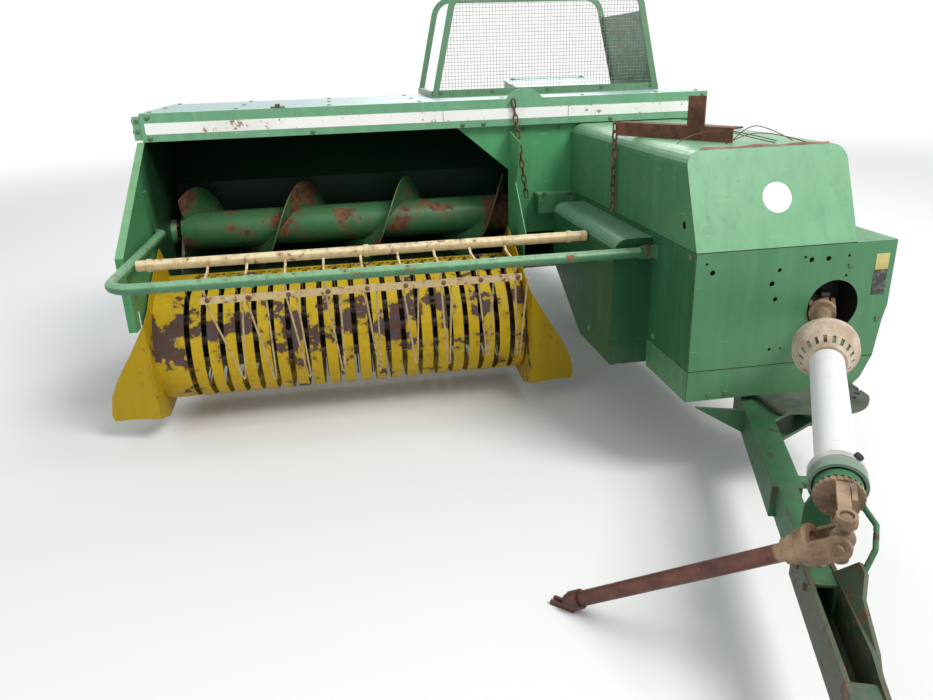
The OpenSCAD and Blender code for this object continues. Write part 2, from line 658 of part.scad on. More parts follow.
// Windguard: a hinged pipe with curved rods, a flat bar and hairpins over the pickup
pipe_y = 650;
pipe_z = 768;
pipe_pin_r = 12;
pipe_x0 = end_in + 27 + rail_r + run_gap;
pipe_x1 = -cover_w - run_gap;
module windguard_pipe() color(cream) at_frame() {
    difference() {
        rod_x(pipe_x0, pipe_x1, pipe_y, pipe_z, pipe_r);
        rod_x(pipe_x0 - 1, pipe_x1 + 1, pipe_y, pipe_z, pipe_pin_r + fit);
    }
}
// A bent wire through a list of points
module wire(points, r) for (i = [0:len(points) - 2]) hull()
    for (k = [i, i + 1]) translate(points[k]) sphere(r = r, $fn = 8);

rods = 9;
rod_r = 5;
flat_y = 600;
flat_z = 620;
flat_h = 28;
foot_y = 736;           // the hairpins' feet lean back under the bands' bend
// one row a hairpin: width at the bar, offset of its foot, height of its foot
hairpins = [[130, 80, 262], [72, 55, 250], [36, 45, 246], [52, 38, 258], [44, 40, 250], [58, 46, 264],
    [40, 35, 248], [60, 55, 272], [50, 42, 256]];
module windguard_rods() color(cream) at_frame() {
    back = flat_y + 6 + rod_r - 0.6;
    for (i = [0:rods - 1]) {
        x = -1610 + i * 145.6;
        xt = -1585 + i * 137.9;
        pin = hairpins[i];
        rest = pipe_r + rod_r;
        wire([[xt, pipe_y - rest * cos(30), pipe_z - rest * sin(30)], [xt, flat_y, pipe_z - 26],
            [(x + xt) / 2, flat_y - 10, pipe_z - 53], [x, flat_y - 4, pipe_z - 88],
            [x, back, flat_z + flat_h + 2], [x, back, flat_z]], rod_r);
        wire([[x, back, flat_z], [x + pin[1] - 5, foot_y, pin[2] + 6], [x + pin[1], foot_y, pin[2]],
            [x + pin[1] + 5, foot_y, pin[2] + 6], [x + pin[0], back - 1, flat_z + 5]], rod_r - 1);
    }
    span([-1628, flat_y, flat_z], [-420, flat_y + 6, flat_z + flat_h]);
}

// Auger: tube with its shaft, and the flight wound round it
auger_x0 = -1835;
auger_x1 = -260;
flight_a = 218;         // turn of the parked auger
module auger_tube() color(dark_green) at_frame() {
    rod_x(auger_x0, auger_x1, auger_y, auger_z, auger_tube_r, 64);
    rod_x(end_in + 20 + fit, auger_x0, auger_y, auger_z, auger_pin_r);
    rod_x(auger_x1, hanger_x + 30, auger_y, auger_z, auger_pin_r);
}
module auger_flight() color(dark_green) at_frame() {
    flight = auger_x1 - auger_x0 - 40;
    translate([auger_x0 + 15, auger_y, auger_z]) rotate([0, 90, 0]) rotate([0, 0, flight_a])
        linear_extrude(flight, twist = 360 * flight / auger_pitch, slices = ceil(flight / auger_pitch * 36),
            segments = 8)
            translate([auger_tube_r + 0.7, -8]) square([auger_r - auger_tube_r - 0.7, 16]);
}

// Pickup: bent stripper bands, end sheets with flared wings and the rear bars
band_rear = 1300;
band_top = reel_z + 228;
band_low = 130;
module band_profile(t) polygon(concat([[band_rear, band_top], [band_rear, band_top + t]],
    arc(reel_y, reel_z, band_r, 75, 285, 24), [[band_rear, band_low], [band_rear, band_low + t]],
    arc(reel_y, reel_z, band_r - t, 285, 75, 24)));
module pickup_bands() color(yellow) at_frame() {
    for (i = [0:band_count - 1]) {
        x = band_x0 + band_pitch * (i + 0.5);
        along_x(x - band_w / 2, x + band_w / 2) band_profile(band_t);
    }
    along_x(pickup_x0 + pickup_t, band_x0 - (band_pitch - band_w) / 2) band_profile(band_t);
    for (z = [[band_top - 23, band_top + band_t], [band_low - 20, band_low + 20]])
        span([pickup_x0 + pickup_t, band_rear, z[0]], [band_x1, band_rear + 5, z[1]]);
}
// Closing sheet behind the reel, bent round the sweep of its tines
module pickup_back() color(dark) at_frame() {
    t = 3;
    high = asin((band_top - 2.5 - reel_z) / (back_r + t));
    low = asin((band_low + band_t + fit - reel_z) / (back_r + t));
    along_x(pickup_x0 + pickup_t, band_x1) polygon(concat(
        arc(reel_y, reel_z, back_r + t, low, high, 16), arc(reel_y, reel_z, back_r, high, low, 16)));
}
side_edge = [[1210, 708], [967, 611], [845, 543], [772, 519], [762, 420], [752, 319], [758, 200], [768, 110]];
wing_a = 20.4;          // how far the wings flare from straight across
wing_edge = [[-3, 515], [80, 386], [157, 277], [203, 190], [219, 112], [210, 86], [103, 103], [-3, 110]];
module wing() translate([0, 764, 0]) rotate([90, 0, -wing_a]) linear_extrude(4)
    polygon([for (p = wing_edge) [-p[0], p[1]]]);
module pickup_ends() color(yellow) at_frame() {
    difference() {
        for (x = [pickup_x0, band_x1]) along_x(x, x + pickup_t)
            polygon(concat(side_edge, [[900, 60], [1200, 80], [1345, 140], [1345, 440], [1300, 620]]));
        rod_x(pickup_x0 - 1, band_x1 + 10, reel_y, reel_z, reel_pin_r + fit);
        rod_x(pickup_x0 - 1, band_x1 + 10, pickup_pivot[0], pickup_pivot[1], pickup_pin_r + fit);
    }
    translate([pickup_x0, 0, 0]) wing();
    translate([band_x1 + pickup_t, 0, 0]) mirror([1, 0, 0]) wing();
}

reel_pin_r = 20;

// Tined reel: shaft, end discs and four bars of spring tines
module tine_reel() color(steel) at_frame() translate([0, reel_y, reel_z]) {
    rod_x(pickup_x0 - 1, band_x1 + 7, 0, 0, reel_pin_r);
    for (x = [pickup_x0 + 14, (pickup_x0 + band_x1) / 2, band_x1 - 16]) rod_x(x, x + 6, 0, 0, 150, 48);
    for (a = [0:90:270]) rotate([a + 20, 0, 0]) {
        rod_x(pickup_x0 + 14, band_x1 - 10, 0, 130, 13, 16);
        for (i = [0:band_count - 1])
            bar([band_x0 + i * band_pitch, 0, 130], [band_x0 + i * band_pitch, -14, tine_r], 3, 6);
    }
}

// Knotters: two cast frames with their bill hooks, and the bearing plates of the shaft
knot_y = 2200;
knot_z = 1080;
shaft_r = 18;
module knotter_frames() color(steel) at_frame() {
    difference() {
        union() {
            for (x = [case_out_x0, case_out_x1 - 12])
                along_x(x, x + 12) polygon([[knot_y - 70, case_top], [knot_y - 30, knot_z + 30],
                    [knot_y + 30, knot_z + 30], [knot_y + 70, case_top]]);
        }
        rod_x(case_out_x0 - 1, case_out_x1 + 1, knot_y, knot_z, shaft_r + fit);
    }
    for (x = needle_x) difference() {
        union() {
            along_x(x + 24, x + 40) polygon([[knot_y - 10, case_top], [knot_y + 60, case_top],
                [knot_y + 34, knot_z + 20], [knot_y - 34, knot_z + 20]]);
            bar([x + 24, knot_y + 20, 975], [x - 6, knot_y + 10, 960], 9);
            bar([x - 6, knot_y + 10, 960], [x - 16, knot_y - 34, 952], 7);
            bar([x + 30, knot_y + 40, 930], [x - 12, knot_y + 46, 926], 8);
        }
        rod_x(x + 20, x + 44, knot_y, knot_z, shaft_r + fit);
    }
}
module knotter_shaft() color(rust) at_frame() {
    rod_x(case_out_x0 - 14, case_out_x1 + 44, knot_y, knot_z, shaft_r);
    for (x = needle_x) difference() {
        rod_x(x - 14, x + 12, knot_y, knot_z, 90, 64);
        for (a = [20:72:308]) translate([x - 15, knot_y, knot_z]) rotate([a, 0, 0]) translate([0, 0, 58])
            rotate([0, 90, 0]) cylinder(h = 30, r = 18, $fn = 24);
    }
    rod_x(case_out_x1 + 30, case_out_x1 + 38, knot_y, knot_z, 90, 48);
}

// Needle yoke: two curved needles on a cross bar, hung from pivots on the case sides
yoke_a = -85;
module needle_yoke() color(yellow) at_frame() {
    px = [case_out_x0 - run_gap - arm_t, case_out_x1 + run_gap];
    bar_y = needle_pivot[0] - needle_r * cos(yoke_a);
    bar_z = needle_pivot[1] + needle_r * sin(yoke_a);
    for (x = px) difference() {
        along_x(x, x + arm_t) union() {
            translate(needle_pivot) circle(r = 40, $fn = 32);
            polygon([needle_pivot + [-38, 0], needle_pivot + [38, 0], [bar_y + 26, bar_z],
                [bar_y - 26, bar_z]]);
            translate([bar_y, bar_z]) circle(r = 28, $fn = 32);
        }
        rod_x(x - 1, x + arm_t + 1, needle_pivot[0], needle_pivot[1], needle_pin_r + fit);
    }
    rod_x(px[0] + arm_t, px[1], bar_y, bar_z, 22);
    for (x = needle_x) translate([x - needle_t / 2, 0, 0]) along_x(0, needle_t) polygon(concat(
        arc(needle_pivot[0], needle_pivot[1], needle_r + 12, 180 - yoke_a - 2, 180 + 18, 14),
        [[needle_pivot[0] - needle_r * cos(-14), needle_pivot[1] + needle_r * sin(-14)]],
        arc(needle_pivot[0], needle_pivot[1], needle_r - 12, 180 + 18, 180 - yoke_a - 2, 14)));
}

// Knotter guard: two hoops of flat bar, sills, wire mesh in front and a side sheet
guard_front = 330;
guard_x0 = -20 - guard_w / 2;
guard_x1 = guard_x0 + guard_w;
module hoop_outline(d) {
    r = 110;
    foot = guard_w / 2 - d;
    head = guard_w / 2 - 92 - d;
    lean = atan((foot - head) / (guard_h - r));
    polygon(concat([[-foot, 0]], arc(-head + r - d, guard_h - r, r - d, 180 - lean, 90, 8),
        arc(head - r + d, guard_h - r, r - d, 90, lean, 8), [[foot, 0]]));
}
module hoop(y) translate([(guard_x0 + guard_x1) / 2, 0, roof_z]) along_y(y, y + 8) difference() {
    hoop_outline(0);
    translate([0, -0.01]) hoop_outline(guard_bar);
}
module guard_hoops() color(green) at_frame() {
    y0 = wall_y + guard_front;
    hoop(y0);
    hoop(y0 + guard_d - 8);
    for (x = [guard_x0, guard_x1 - 30]) span([x, y0 + 8, roof_z], [x + 30, y0 + guard_d - 8, roof_z + 30]);
    span([guard_x0 + guard_bar, y0, roof_z], [guard_x1 - guard_bar, y0 + 8, roof_z + 34]);
}
mesh_pitch = 54;
mesh_w = 3;
module guard_mesh() color(steel) at_frame() {
    y0 = wall_y + guard_front + 8;
    intersection() {
        translate([(guard_x0 + guard_x1) / 2, 0, roof_z]) along_y(y0, y0 + 4) hoop_outline(8);
        union() {
            for (x = [guard_x0 + 43:mesh_pitch:guard_x1])
                span([x - mesh_w / 2, y0, roof_z + 31], [x + mesh_w / 2, y0 + mesh_w, roof_z + guard_h]);
            for (z = [roof_z + 40:mesh_pitch:roof_z + guard_h - 66])
                span([guard_x0, y0, z], [guard_x1, y0 + mesh_w, z + mesh_w]);
        }
    }
}
module guard_sheet() color(green) at_frame() {
    y0 = wall_y + guard_front + 12 + fit;
    translate([0, 0, roof_z + 30]) along_y(y0, y0 + guard_d - 20 - fit)
        polygon([[guard_x1 - 26, 0], [guard_x1 - 22, 0], [guard_x1 - 98, 340], [guard_x1 - 102, 340]]);
}

// Twine box over the bale case, open at the top, with its lid
box_x0 = case_out_x0 - 28;
box_x1 = box_x0 + 571;
box_y0 = 2366;
box_y1 = 2860;
box_z0 = 980;
box_z1 = 1252;
lid_a = 5;              // the lid slopes up to the rear
lid_y1 = box_y1 + 16;
lid_z1 = box_z1 + (lid_y1 - box_y0) * tan(lid_a) + 2;
lid_pin_r = 7;
module twine_box() color(green) at_frame() {
    rear = box_z1 + (box_y1 - box_y0) * tan(lid_a);
    difference() {
        along_x(box_x0, box_x1)
            polygon([[box_y0, box_z0], [box_y1, box_z0], [box_y1, rear], [box_y0, box_z1]]);
        span([box_x0 + 4, box_y0 + 4, box_z0 + 4], [box_x1 - 4, box_y1 - 4, rear + 1]);
    }
    for (x = [case_out_x0, case_out_x1 - 40]) for (y = [box_y0 + 30, box_y1 - 70])
        span([x, y, case_top], [x + 40, y + 40, box_z0]);
    difference() {
        for (x = [box_x0 + 50, box_x1 - 66]) along_x(x, x + 16) polygon([[box_y1, rear - 44],
            [box_y1 + 28, rear - 20], [box_y1 + 28, rear + 14], [box_y1 + 4, rear + 14],
            [box_y1 + 4, rear - 2], [box_y1, rear - 2]]);
        rod_x(box_x0, box_x1, lid_y1, lid_z1, lid_pin_r + fit, 24);
    }
}
module twine_lid() color(green) at_frame() {
    d = (box_y1 - box_y0) / cos(lid_a);
    translate([0, box_y0, box_z1 + fit]) rotate([lid_a, 0, 0]) {
        span([box_x0 - 6, -6, 0], [box_x1 + 6, d - 12, 4]);
        span([box_x0 + 90, d - 12, 0], [box_x1 - 90, d + 12, 4]);
    }
    rod_x(box_x0 + 40, box_x1 - 40, lid_y1, lid_z1, lid_pin_r, 24);
}

// Bale metering wheel: a toothed wheel on an arm that the passing bale turns
module metering_wheel() color(yellow) at_frame() difference() {
    union() {
        rod_x(case_mid - 8, case_mid + 8, meter_y, meter_z, 100, 48);
        for (a = [0:30:330]) translate([0, meter_y, meter_z]) rotate([a, 0, 0])
            along_x(case_mid - 8, case_mid + 8) polygon([[-12, 90], [0, 126], [12, 90]]);
        rod_x(case_mid - 30, case_mid + 30, meter_y, meter_z, 24);
    }
    rod_x(case_mid - 31, case_mid + 31, meter_y, meter_z, 12 + fit);
}

// Tongue, in its own frame: origin on the king pin, Y along the tongue to the rear
module on_tongue() at_frame() translate([pivot_x, pivot_y, 0]) rotate([0, 0, -tongue_a]) children();
tube_x = [arm_x - tongue_w / 2, arm_x + tongue_w / 2];
channel_t = 10;
channel_x = [arm_x - channel_w / 2, arm_x + channel_w / 2];
neck_y = -680;          // the tube gets narrower in front of this
tube_y = -1112;         // front end of the tube
channel_y = -940;       // rear and front end of the hitch channel
channel_end = -1560;
cover_t = 12;
cover_low = tongue_top - cover_t - 4;
module tongue_beam() color(green) on_tongue() {
    neck_x = [channel_x[0] + channel_t, channel_x[1] - channel_t];
    difference() {
        union() {
            span([tube_x[0], neck_y, tongue_low], [tube_x[1], 40, tongue_top]);
            span([neck_x[0], tube_y, tongue_low], [neck_x[1], neck_y, tongue_top]);
            for (z = [tongue_low, tongue_top - cover_t]) translate([0, 0, z]) linear_extrude(cover_t)
                polygon(concat([[tube_x[1] - 1, -260], [tube_x[1] - 1, 40]], arc(0, 0, 62, 100, -80, 10)));
            translate([0, 0, tongue_low]) cylinder(h = tongue_h, r = 46);
        }
        span([tube_x[0] + 7, neck_y + 7, tongue_low + 7], [tube_x[1] - 7, 30, tongue_top - 7]);
        span([neck_x[0] + 7, tube_y - 1, tongue_low + 7], [neck_x[1] - 7, neck_y + 8, tongue_top - 7]);
        translate([0, 0, tongue_low - 1]) cylinder(h = tongue_h + 2, r = king_r + fit);
    }
    translate([tube_x[1], -620, tongue_top - 20]) rotate([0, 90, 0]) cylinder(h = 40, r = 18, $fn = 32);
    along_y(-196, -186)
        polygon([[tube_x[0], tongue_top - 85], [tube_x[0], tongue_top], [tube_x[0] - 163, tongue_top]]);
}
// Hitch channel: two side plates, the right one with a tall ear that leans out, floor, cover and fork
ear_lean = 25;
module hitch_channel() color(dark_green) on_tongue() {
    low = tongue_low;
    along_x(channel_x[0], channel_x[0] + channel_t) polygon([[channel_y, low], [channel_y, tongue_top - 30],
        [channel_y - 60, tongue_top], [channel_end + 130, tongue_top], [channel_end, tongue_top - 14],
        [channel_end, low]]);
    along_x(channel_x[1] - channel_t, channel_x[1]) polygon([[channel_y, low], [channel_y, tongue_top - 30],
        [channel_y - 60, tongue_top], [channel_end + 222, tongue_top + 20],
        [channel_end + 159, tongue_top + 6],
        [channel_end, tongue_top - 14], [channel_end, low]]);
    translate([channel_x[1] - channel_t, 0, tongue_top]) rotate([0, ear_lean, 0]) along_x(0, channel_t)
        polygon([[-1060, 0], [-1112, 76], [-1153, 76], [-1200, 44], [-1338, 22], [-1400, 0]]);
    span([channel_x[0] + channel_t, channel_end, low],
        [channel_x[1] - channel_t, tube_y - 1, low + channel_t]);
    span([channel_x[0] + channel_t, channel_end, cover_low],
        [channel_x[1] - channel_t, channel_end + 160, cover_low + cover_t]);
    difference() {
        for (z = [low, cover_low]) translate([arm_x, 0, z]) linear_extrude(cover_t) {
            translate([0, -hitch_y]) circle(r = nose_r);
            translate([-nose_r, -hitch_y]) square([2 * nose_r, hitch_y + channel_end + 1]);
        }
        translate([arm_x, -hitch_y, low - 1]) cylinder(h = 200, r = hitch_r, $fn = 48);
    }
}

// Bearing ring of the drive shaft on its plate, with a curved stay down to the hitch channel
shaft_l = norm(drive_joint - [0, 0, drive_z]);
shaft_tilt = [asin((drive_joint[2] - drive_z) / shaft_l), atan2(drive_joint[0], -drive_joint[1])];
module on_shaft(d) at_frame() translate([pivot_x, pivot_y, drive_z]) rotate([0, 0, shaft_tilt[1] - tongue_a])
    rotate([90 - shaft_tilt[0], 0, 0]) translate([0, 0, d]) children();
bearing_at = 1008;
bearing_w = 22;
bearing_r = 54;
inner_r = 24;
module shaft_support() color(dark_green) difference() {
    union() {
        on_shaft(bearing_at) cylinder(h = bearing_w, r = bearing_r);
        on_shaft(bearing_at + 2) linear_extrude(12) polygon([[-66, -200], [-6, -200], [-6, -100], [44, -50],
            [44, 0], [-44, 0], [-66, -60]]);
        on_tongue() wire([[-123, -996, 451], [-104, -1060, 432], [-112, -1100, 396], [-138, -1128, 350]], 7);
    }
    on_shaft(bearing_at - 1) cylinder(h = 30, r = inner_r + fit);
    on_tongue() span([-400, -1060, 0], [0, -800, tongue_top]);
    on_tongue() translate([channel_x[1] - channel_t, 0, tongue_top]) rotate([0, ear_lean, 0])
        span([-40, -1420, -40], [channel_t, -1020, 140]);
}

// Parking jack at the side of the hitch
jack_y = -1545;
jack_x = channel_x[1] + 36;
module jack_sleeve() color(dark_green) on_tongue() {
    difference() {
        translate([jack_x, jack_y, 150]) cylinder(h = 190, r = 32);
        translate([jack_x, jack_y, 149]) cylinder(h = 170, r = 26);
    }
    span([channel_x[1], channel_end, tongue_low + 10], [jack_x - 31, jack_y + 30, tongue_top - 40]);
}
module jack_leg() color(steel) on_tongue() {
    translate([jack_x, jack_y, 12]) cylinder(h = 200, r = 26 - fit);
    translate([jack_x, jack_y, 0]) cylinder(h = 12, r = 75);
}

// Drive line: rear yoke, slotted shield cone, shield tube and the wide angle joint
module drive_yoke() color(rust) {
    at_frame() translate([pivot_x, pivot_y, drive_z]) rotate([0, 0, shaft_tilt[1] - tongue_a]) difference() {
        union() {
            translate([0, 0, -24]) cylinder(h = 48, r = 21);
            translate([-36, 0, 0]) rotate([0, 90, 0]) cylinder(h = 72, r = 10, $fn = 24);
        }
        translate([0, 0, -25]) cylinder(h = 50, r = cross_r + fit);
    }
    on_shaft(0) for (s = [-1, 1]) translate([s * 34 - 6, -16, -18]) cube([12, 32, 75]);
    on_shaft(56) cylinder(h = 26, r = 42);
    on_shaft(81) cylinder(h = tube_end + 8 - 81, r = 26);
}
cone_at = 306;
cone_l = 110;
cone_r = 95;
module shield_cone() color(pale) difference() {
    on_shaft(cone_at) rotate_extrude($fn = 48) polygon([[cone_r - 5, 0], [cone_r, 0], [cone_r, 40],
        [shield_r + 8, cone_l], [27, cone_l], [27, cone_l - 6], [shield_r, cone_l - 6], [cone_r - 5, 38]]);
    for (a = [0:20:340]) on_shaft(cone_at + 62) rotate([0, 0, a]) translate([shield_r + 8, -5, 0])
        rotate([0, -32, 0]) cube([60, 10, 26]);
}
tube_end = 944;
cap_r = shield_r + 18;
module shield_tube() color(pale) {
    on_shaft(cone_at + cone_l) difference() {
        cylinder(h = tube_end - cone_at - cone_l + 6, r = shield_r);
        translate([0, 0, -1]) cylinder(h = tube_end - cone_at - cone_l + 1, r = shield_r - 4);
        cylinder(h = tube_end - cone_at - cone_l + 7, r = 27);
    }
    on_shaft(tube_end) rotate_extrude($fn = 64) polygon([[27, 0], [cap_r - 6, 0], [cap_r, 6], [cap_r, 24],
        [cap_r - 4, 25], [cap_r - 4, 30], [cap_r, 31], [cap_r, 62], [cap_r - 8, 62], [cap_r - 8, 12],
        [27, 12]]);
}

// Wide angle joint: toothed flange, upper and lower ear, a side web, and the cross with its hollow caps
pin_dir = 47;           // heading of the half shaft's hinge pin
flange_at = bearing_at + bearing_w + 4;
flange_t = 14;
cross_pin_r = 12;
joint_pos = [pivot_x + drive_joint[0] * cos(tongue_a) + drive_joint[1] * sin(tongue_a),
             pivot_y - drive_joint[0] * sin(tongue_a) + drive_joint[1] * cos(tongue_a), drive_joint[2]];
module on_half() at_frame() translate(joint_pos) rotate([0, 0, pin_dir]) children();
// one row an ear: inner face, outer face, half the neck's width, radius of the eye
ears = [[40, 50, 14, 24], [-46, -56, 10, 20]];
flange_r = 56;
module wide_joint() color(tan) {
    back = shaft_l - flange_at - flange_t + 1;      // from the cross back into the flange
    low = ears[1][1];
    high = ears[0][1];
    on_shaft(tube_end + 13) cylinder(h = flange_at - tube_end - 12, r = inner_r);
    on_shaft(flange_at) difference() {
        cylinder(h = flange_t, r = flange_r);
        for (a = [0:15:345]) rotate([0, 0, a]) translate([flange_r + 1, 0, -1])
            cylinder(h = flange_t + 2, r = 4, $fn = 16);
    }
    on_shaft(shaft_l) {
        for (e = ears) translate([0, min(e[0], e[1]), 0]) {
            translate([-e[2], 0, -back]) cube([2 * e[2], abs(e[1] - e[0]), back]);
            rotate([-90, 0, 0]) cylinder(h = abs(e[1] - e[0]), r = e[3]);
        }
        translate([16, low + 8, -back]) cube([12, high - low - 8, 64]);
        translate([8, low, -back]) cube([14, high - low, 16]);
        rotate([-90, 0, 0]) translate([0, 0, low - 8]) cylinder(h = high - low + 16, r = cross_pin_r);
        rotate([-90, 0, 0]) translate([0, 0, high]) difference() {
            cylinder(h = 14, r = 22);
            translate([0, 0, 4]) cylinder(h = 11, r = 15);
        }
    }
    on_half() rotate([0, 90, 0]) translate([0, 0, -58]) cylinder(h = 116, r = cross_pin_r);
    on_half() sphere(r = 26);
}

// Half shaft with its clevis on the cross; it hangs down until its far end lies on the ground
half_drop = 34.2;
half_len = (drive_joint[2] - fit - half_r * cos(half_drop)) / sin(half_drop);
arm_in = 34;
module half_shaft() color(rust) on_half() {
    rotate([-half_drop, 0, 0]) difference() {
        union() {
            // one row an arm: inner face, outer face, half its height
            for (c = [[-arm_in - 14, -arm_in, 26], [arm_in, arm_in + 14, 16]]) {
                translate([c[0], 0, -c[2]]) cube([c[1] - c[0], 70, 2 * c[2]]);
                rod_x(c[0], c[1], 0, 0, c[2]);
            }
            rotate([-90, 0, 0]) rotate_extrude($fn = 48) polygon([[0, 58], [arm_in + 14, 58],
                [arm_in + 14, 68], [40, 92], [34, 96], [34, 112], [30, 114], [30, 128], [0, 128]]);
            rotate([-90, 0, 0]) translate([0, 0, 100]) cylinder(h = half_len - 100, r = half_r);
            rotate([-90, 0, 0]) translate([0, 0, half_len - 50]) cylinder(h = 34, r = half_r + 6);
        }
        rod_x(-60, 60, 0, 0, cross_pin_r + fit, 48);
        translate([0, 58, 0]) sphere(r = 30);
    }
    tip = half_len * cos(half_drop);
    difference() {
        span([-15, tip - 26, fit - drive_joint[2]], [15, tip + 46, fit - drive_joint[2] + 12]);
        span([-6, tip + 12, -drive_joint[2]], [6, tip + 47, fit - drive_joint[2] + 13]);
    }
}

// Chains that hang on the hood's bar and the top beam: each runs from a first to a last link
link_p = 34;
link_r = 3.5;
link_c = 9;
link_s = link_p / 2 + fit / 2 - link_c + link_r;
chain_a = [[-284, wall_y - beam_t - 14, 1238], [-224, wall_y - beam_t - 14, 812]];
bar_at = [-14, 712];
bar_a = -60.5;
peg_r = 4;
peg_rise = link_s + link_c - link_r - peg_r - fit;    // from a link's middle to the peg in it
chain_b_at = bar_at + 14 * [-cos(bar_a), -sin(bar_a)] + 3 * [-sin(bar_a), cos(bar_a)];
chain_b = [for (drop = [0, 306]) [chain_b_at[0], chain_b_at[1], hood_top + 44 - peg_rise - drop]];
module link() {
    for (e = [-1, 1]) {
        translate([0, 0, e * link_s]) rotate([e * 90, 0, 0]) rotate_extrude(angle = 180, $fn = 24)
            translate([link_c, 0]) circle(r = link_r, $fn = 16);
        translate([e * link_c, 0, -link_s]) cylinder(h = 2 * link_s, r = link_r, $fn = 16);
    }
}
module chain(ends, heading) {
    d = ends[1] - ends[0];
    links = floor(norm(d) / link_p);
    for (i = [0:links]) translate(ends[0] + d / norm(d) * i * link_p) rotate([0, -atan2(d[0], -d[2]), 0])
        rotate([0, 0, heading + i % 2 * 90]) link();
}
module chains() color(rust) at_frame() {
    chain(chain_a, 0);
    chain(chain_b, bar_a + 90);
}

// Rusty angle bar left on the hood's top, with an upright plate
module hood_bar() color(rust) at_frame() translate([bar_at[0], bar_at[1], hood_top])
    rotate([0, 0, bar_a]) {
    span([0, 0, 0], [500, 6, 44]);
    span([0, 0, 44], [500, 62, 50]);
    span([310, 8, 50], [380, 14, 150]);
    translate([-24, 3, 44]) rotate([0, 90, 0]) cylinder(h = 25, r = peg_r, $fn = 24);
}

main_frame();
swing_plate();
axle_beam();
bale_case();
tension_rails();
tension_screws();
plunger();
front_panel();
drive_collar();
side_panels();
lower_skirt();
upper_hood();
drive_cover();
gearbox();
flywheel();
feeder_house();
deck();
front_beam();
beam_stripe();
feeder_wall();
end_wall();
inner_side_sheet();
step_box();
left_shield();
guard_rail();
windguard_pipe();
windguard_rods();
auger_tube();
auger_flight();
pickup_bands();
pickup_back();
pickup_ends();
tine_reel();
knotter_frames();
knotter_shaft();
needle_yoke();
guard_hoops();
guard_mesh();
guard_sheet();
twine_box();
twine_lid();
metering_wheel();
tongue_beam();
hitch_channel();
shaft_support();
jack_sleeve();
jack_leg();
drive_yoke();
shield_cone();
shield_tube();
wide_joint();
half_shaft();
left_tyre();
left_rim();
right_tyre();
right_rim();
chains();
hood_bar();
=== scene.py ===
import math
import random

import bmesh
import bpy
from mathutils import Matrix, Vector


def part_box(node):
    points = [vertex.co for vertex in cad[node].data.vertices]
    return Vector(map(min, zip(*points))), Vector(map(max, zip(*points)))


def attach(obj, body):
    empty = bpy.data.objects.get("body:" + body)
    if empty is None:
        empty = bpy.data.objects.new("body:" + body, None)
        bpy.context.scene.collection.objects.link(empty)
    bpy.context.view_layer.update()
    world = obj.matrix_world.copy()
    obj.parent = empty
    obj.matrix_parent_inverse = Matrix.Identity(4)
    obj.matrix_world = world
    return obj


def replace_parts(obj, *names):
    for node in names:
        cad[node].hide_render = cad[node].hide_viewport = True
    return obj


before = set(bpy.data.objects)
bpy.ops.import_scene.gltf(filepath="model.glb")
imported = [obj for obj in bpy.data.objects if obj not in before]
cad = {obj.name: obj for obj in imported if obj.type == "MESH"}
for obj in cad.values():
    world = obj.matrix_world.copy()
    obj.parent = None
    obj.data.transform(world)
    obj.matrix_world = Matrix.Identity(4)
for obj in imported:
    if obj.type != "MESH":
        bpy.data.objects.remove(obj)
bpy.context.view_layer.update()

# ------------------------ the view
# The machine is seen from the front right, from a standing person's height, over the tongue.
# Angles and focal length were fitted to the machine's own edges.
PANEL_FOOT = Vector((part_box("front_panel")[0][0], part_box("front_panel")[0][1], 0.0))


def spot(x, y, z):
    """A place in millimetres from the ground under the front panel's corner on the pickup side."""
    return PANEL_FOOT + Vector((x, y, z)) * 0.001


VIEW_FROM = spot(-1090.5, -2197.0, 1426.9)
VIEW_YAW, VIEW_PITCH, VIEW_ROLL = 0.157, 0.363, 0.033
PICTURE_WIDTH, FOCAL_PIXELS = 933, 762.7

view = bpy.data.cameras.new("view")
view.sensor_width = 36.0
view.lens = view.sensor_width * FOCAL_PIXELS / PICTURE_WIDTH
view.clip_start, view.clip_end = 0.05, 200.0
camera = bpy.data.objects.new("view", view)
bpy.context.scene.collection.objects.link(camera)
camera.matrix_world = (
    Matrix.Translation(VIEW_FROM)
    @ Matrix.Rotation(-VIEW_YAW, 4, "Z")
    @ Matrix.Rotation(math.pi / 2 - VIEW_PITCH, 4, "X")
    @ Matrix.Rotation(-VIEW_ROLL, 4, "Z")
)
bpy.context.scene.camera = camera
bpy.context.scene.view_settings.view_transform = "Standard"


# ------------------------ floor and light
# A pale studio floor that runs out into white, a high broad key light from the machine's left
# front, and an even sky, as on a bright overcast day.
class Signal:
    """A socket of a finish's shader, on which arithmetic adds Math nodes."""

    def __init__(self, finish, socket):
        self.finish, self.socket = finish, socket

    def math(self, operation, *others):
        return self.finish.node("Math", {"operation": operation}, dict(enumerate((self,) + others)))

    def __add__(self, other):
        return self.math("ADD", other)

    __radd__ = __add__

    def __mul__(self, other):
        return self.math("MULTIPLY", other)

    __rmul__ = __mul__

    def __sub__(self, other):
        return self.math("SUBTRACT", other)

    def __rsub__(self, other):
        return self * -1.0 + other

    def clip(self):
        return self.finish.node("Clamp", {}, {"Value": self})

    def rise(self, low, high, to_low=0.0, to_high=1.0):
        """Goes smoothly from to_low at low to to_high at high."""
        limits = {"Value": self, "From Min": low, "From Max": high, "To Min": to_low, "To Max": to_high}
        return self.finish.node("MapRange", {"interpolation_type": "SMOOTHSTEP"}, limits)


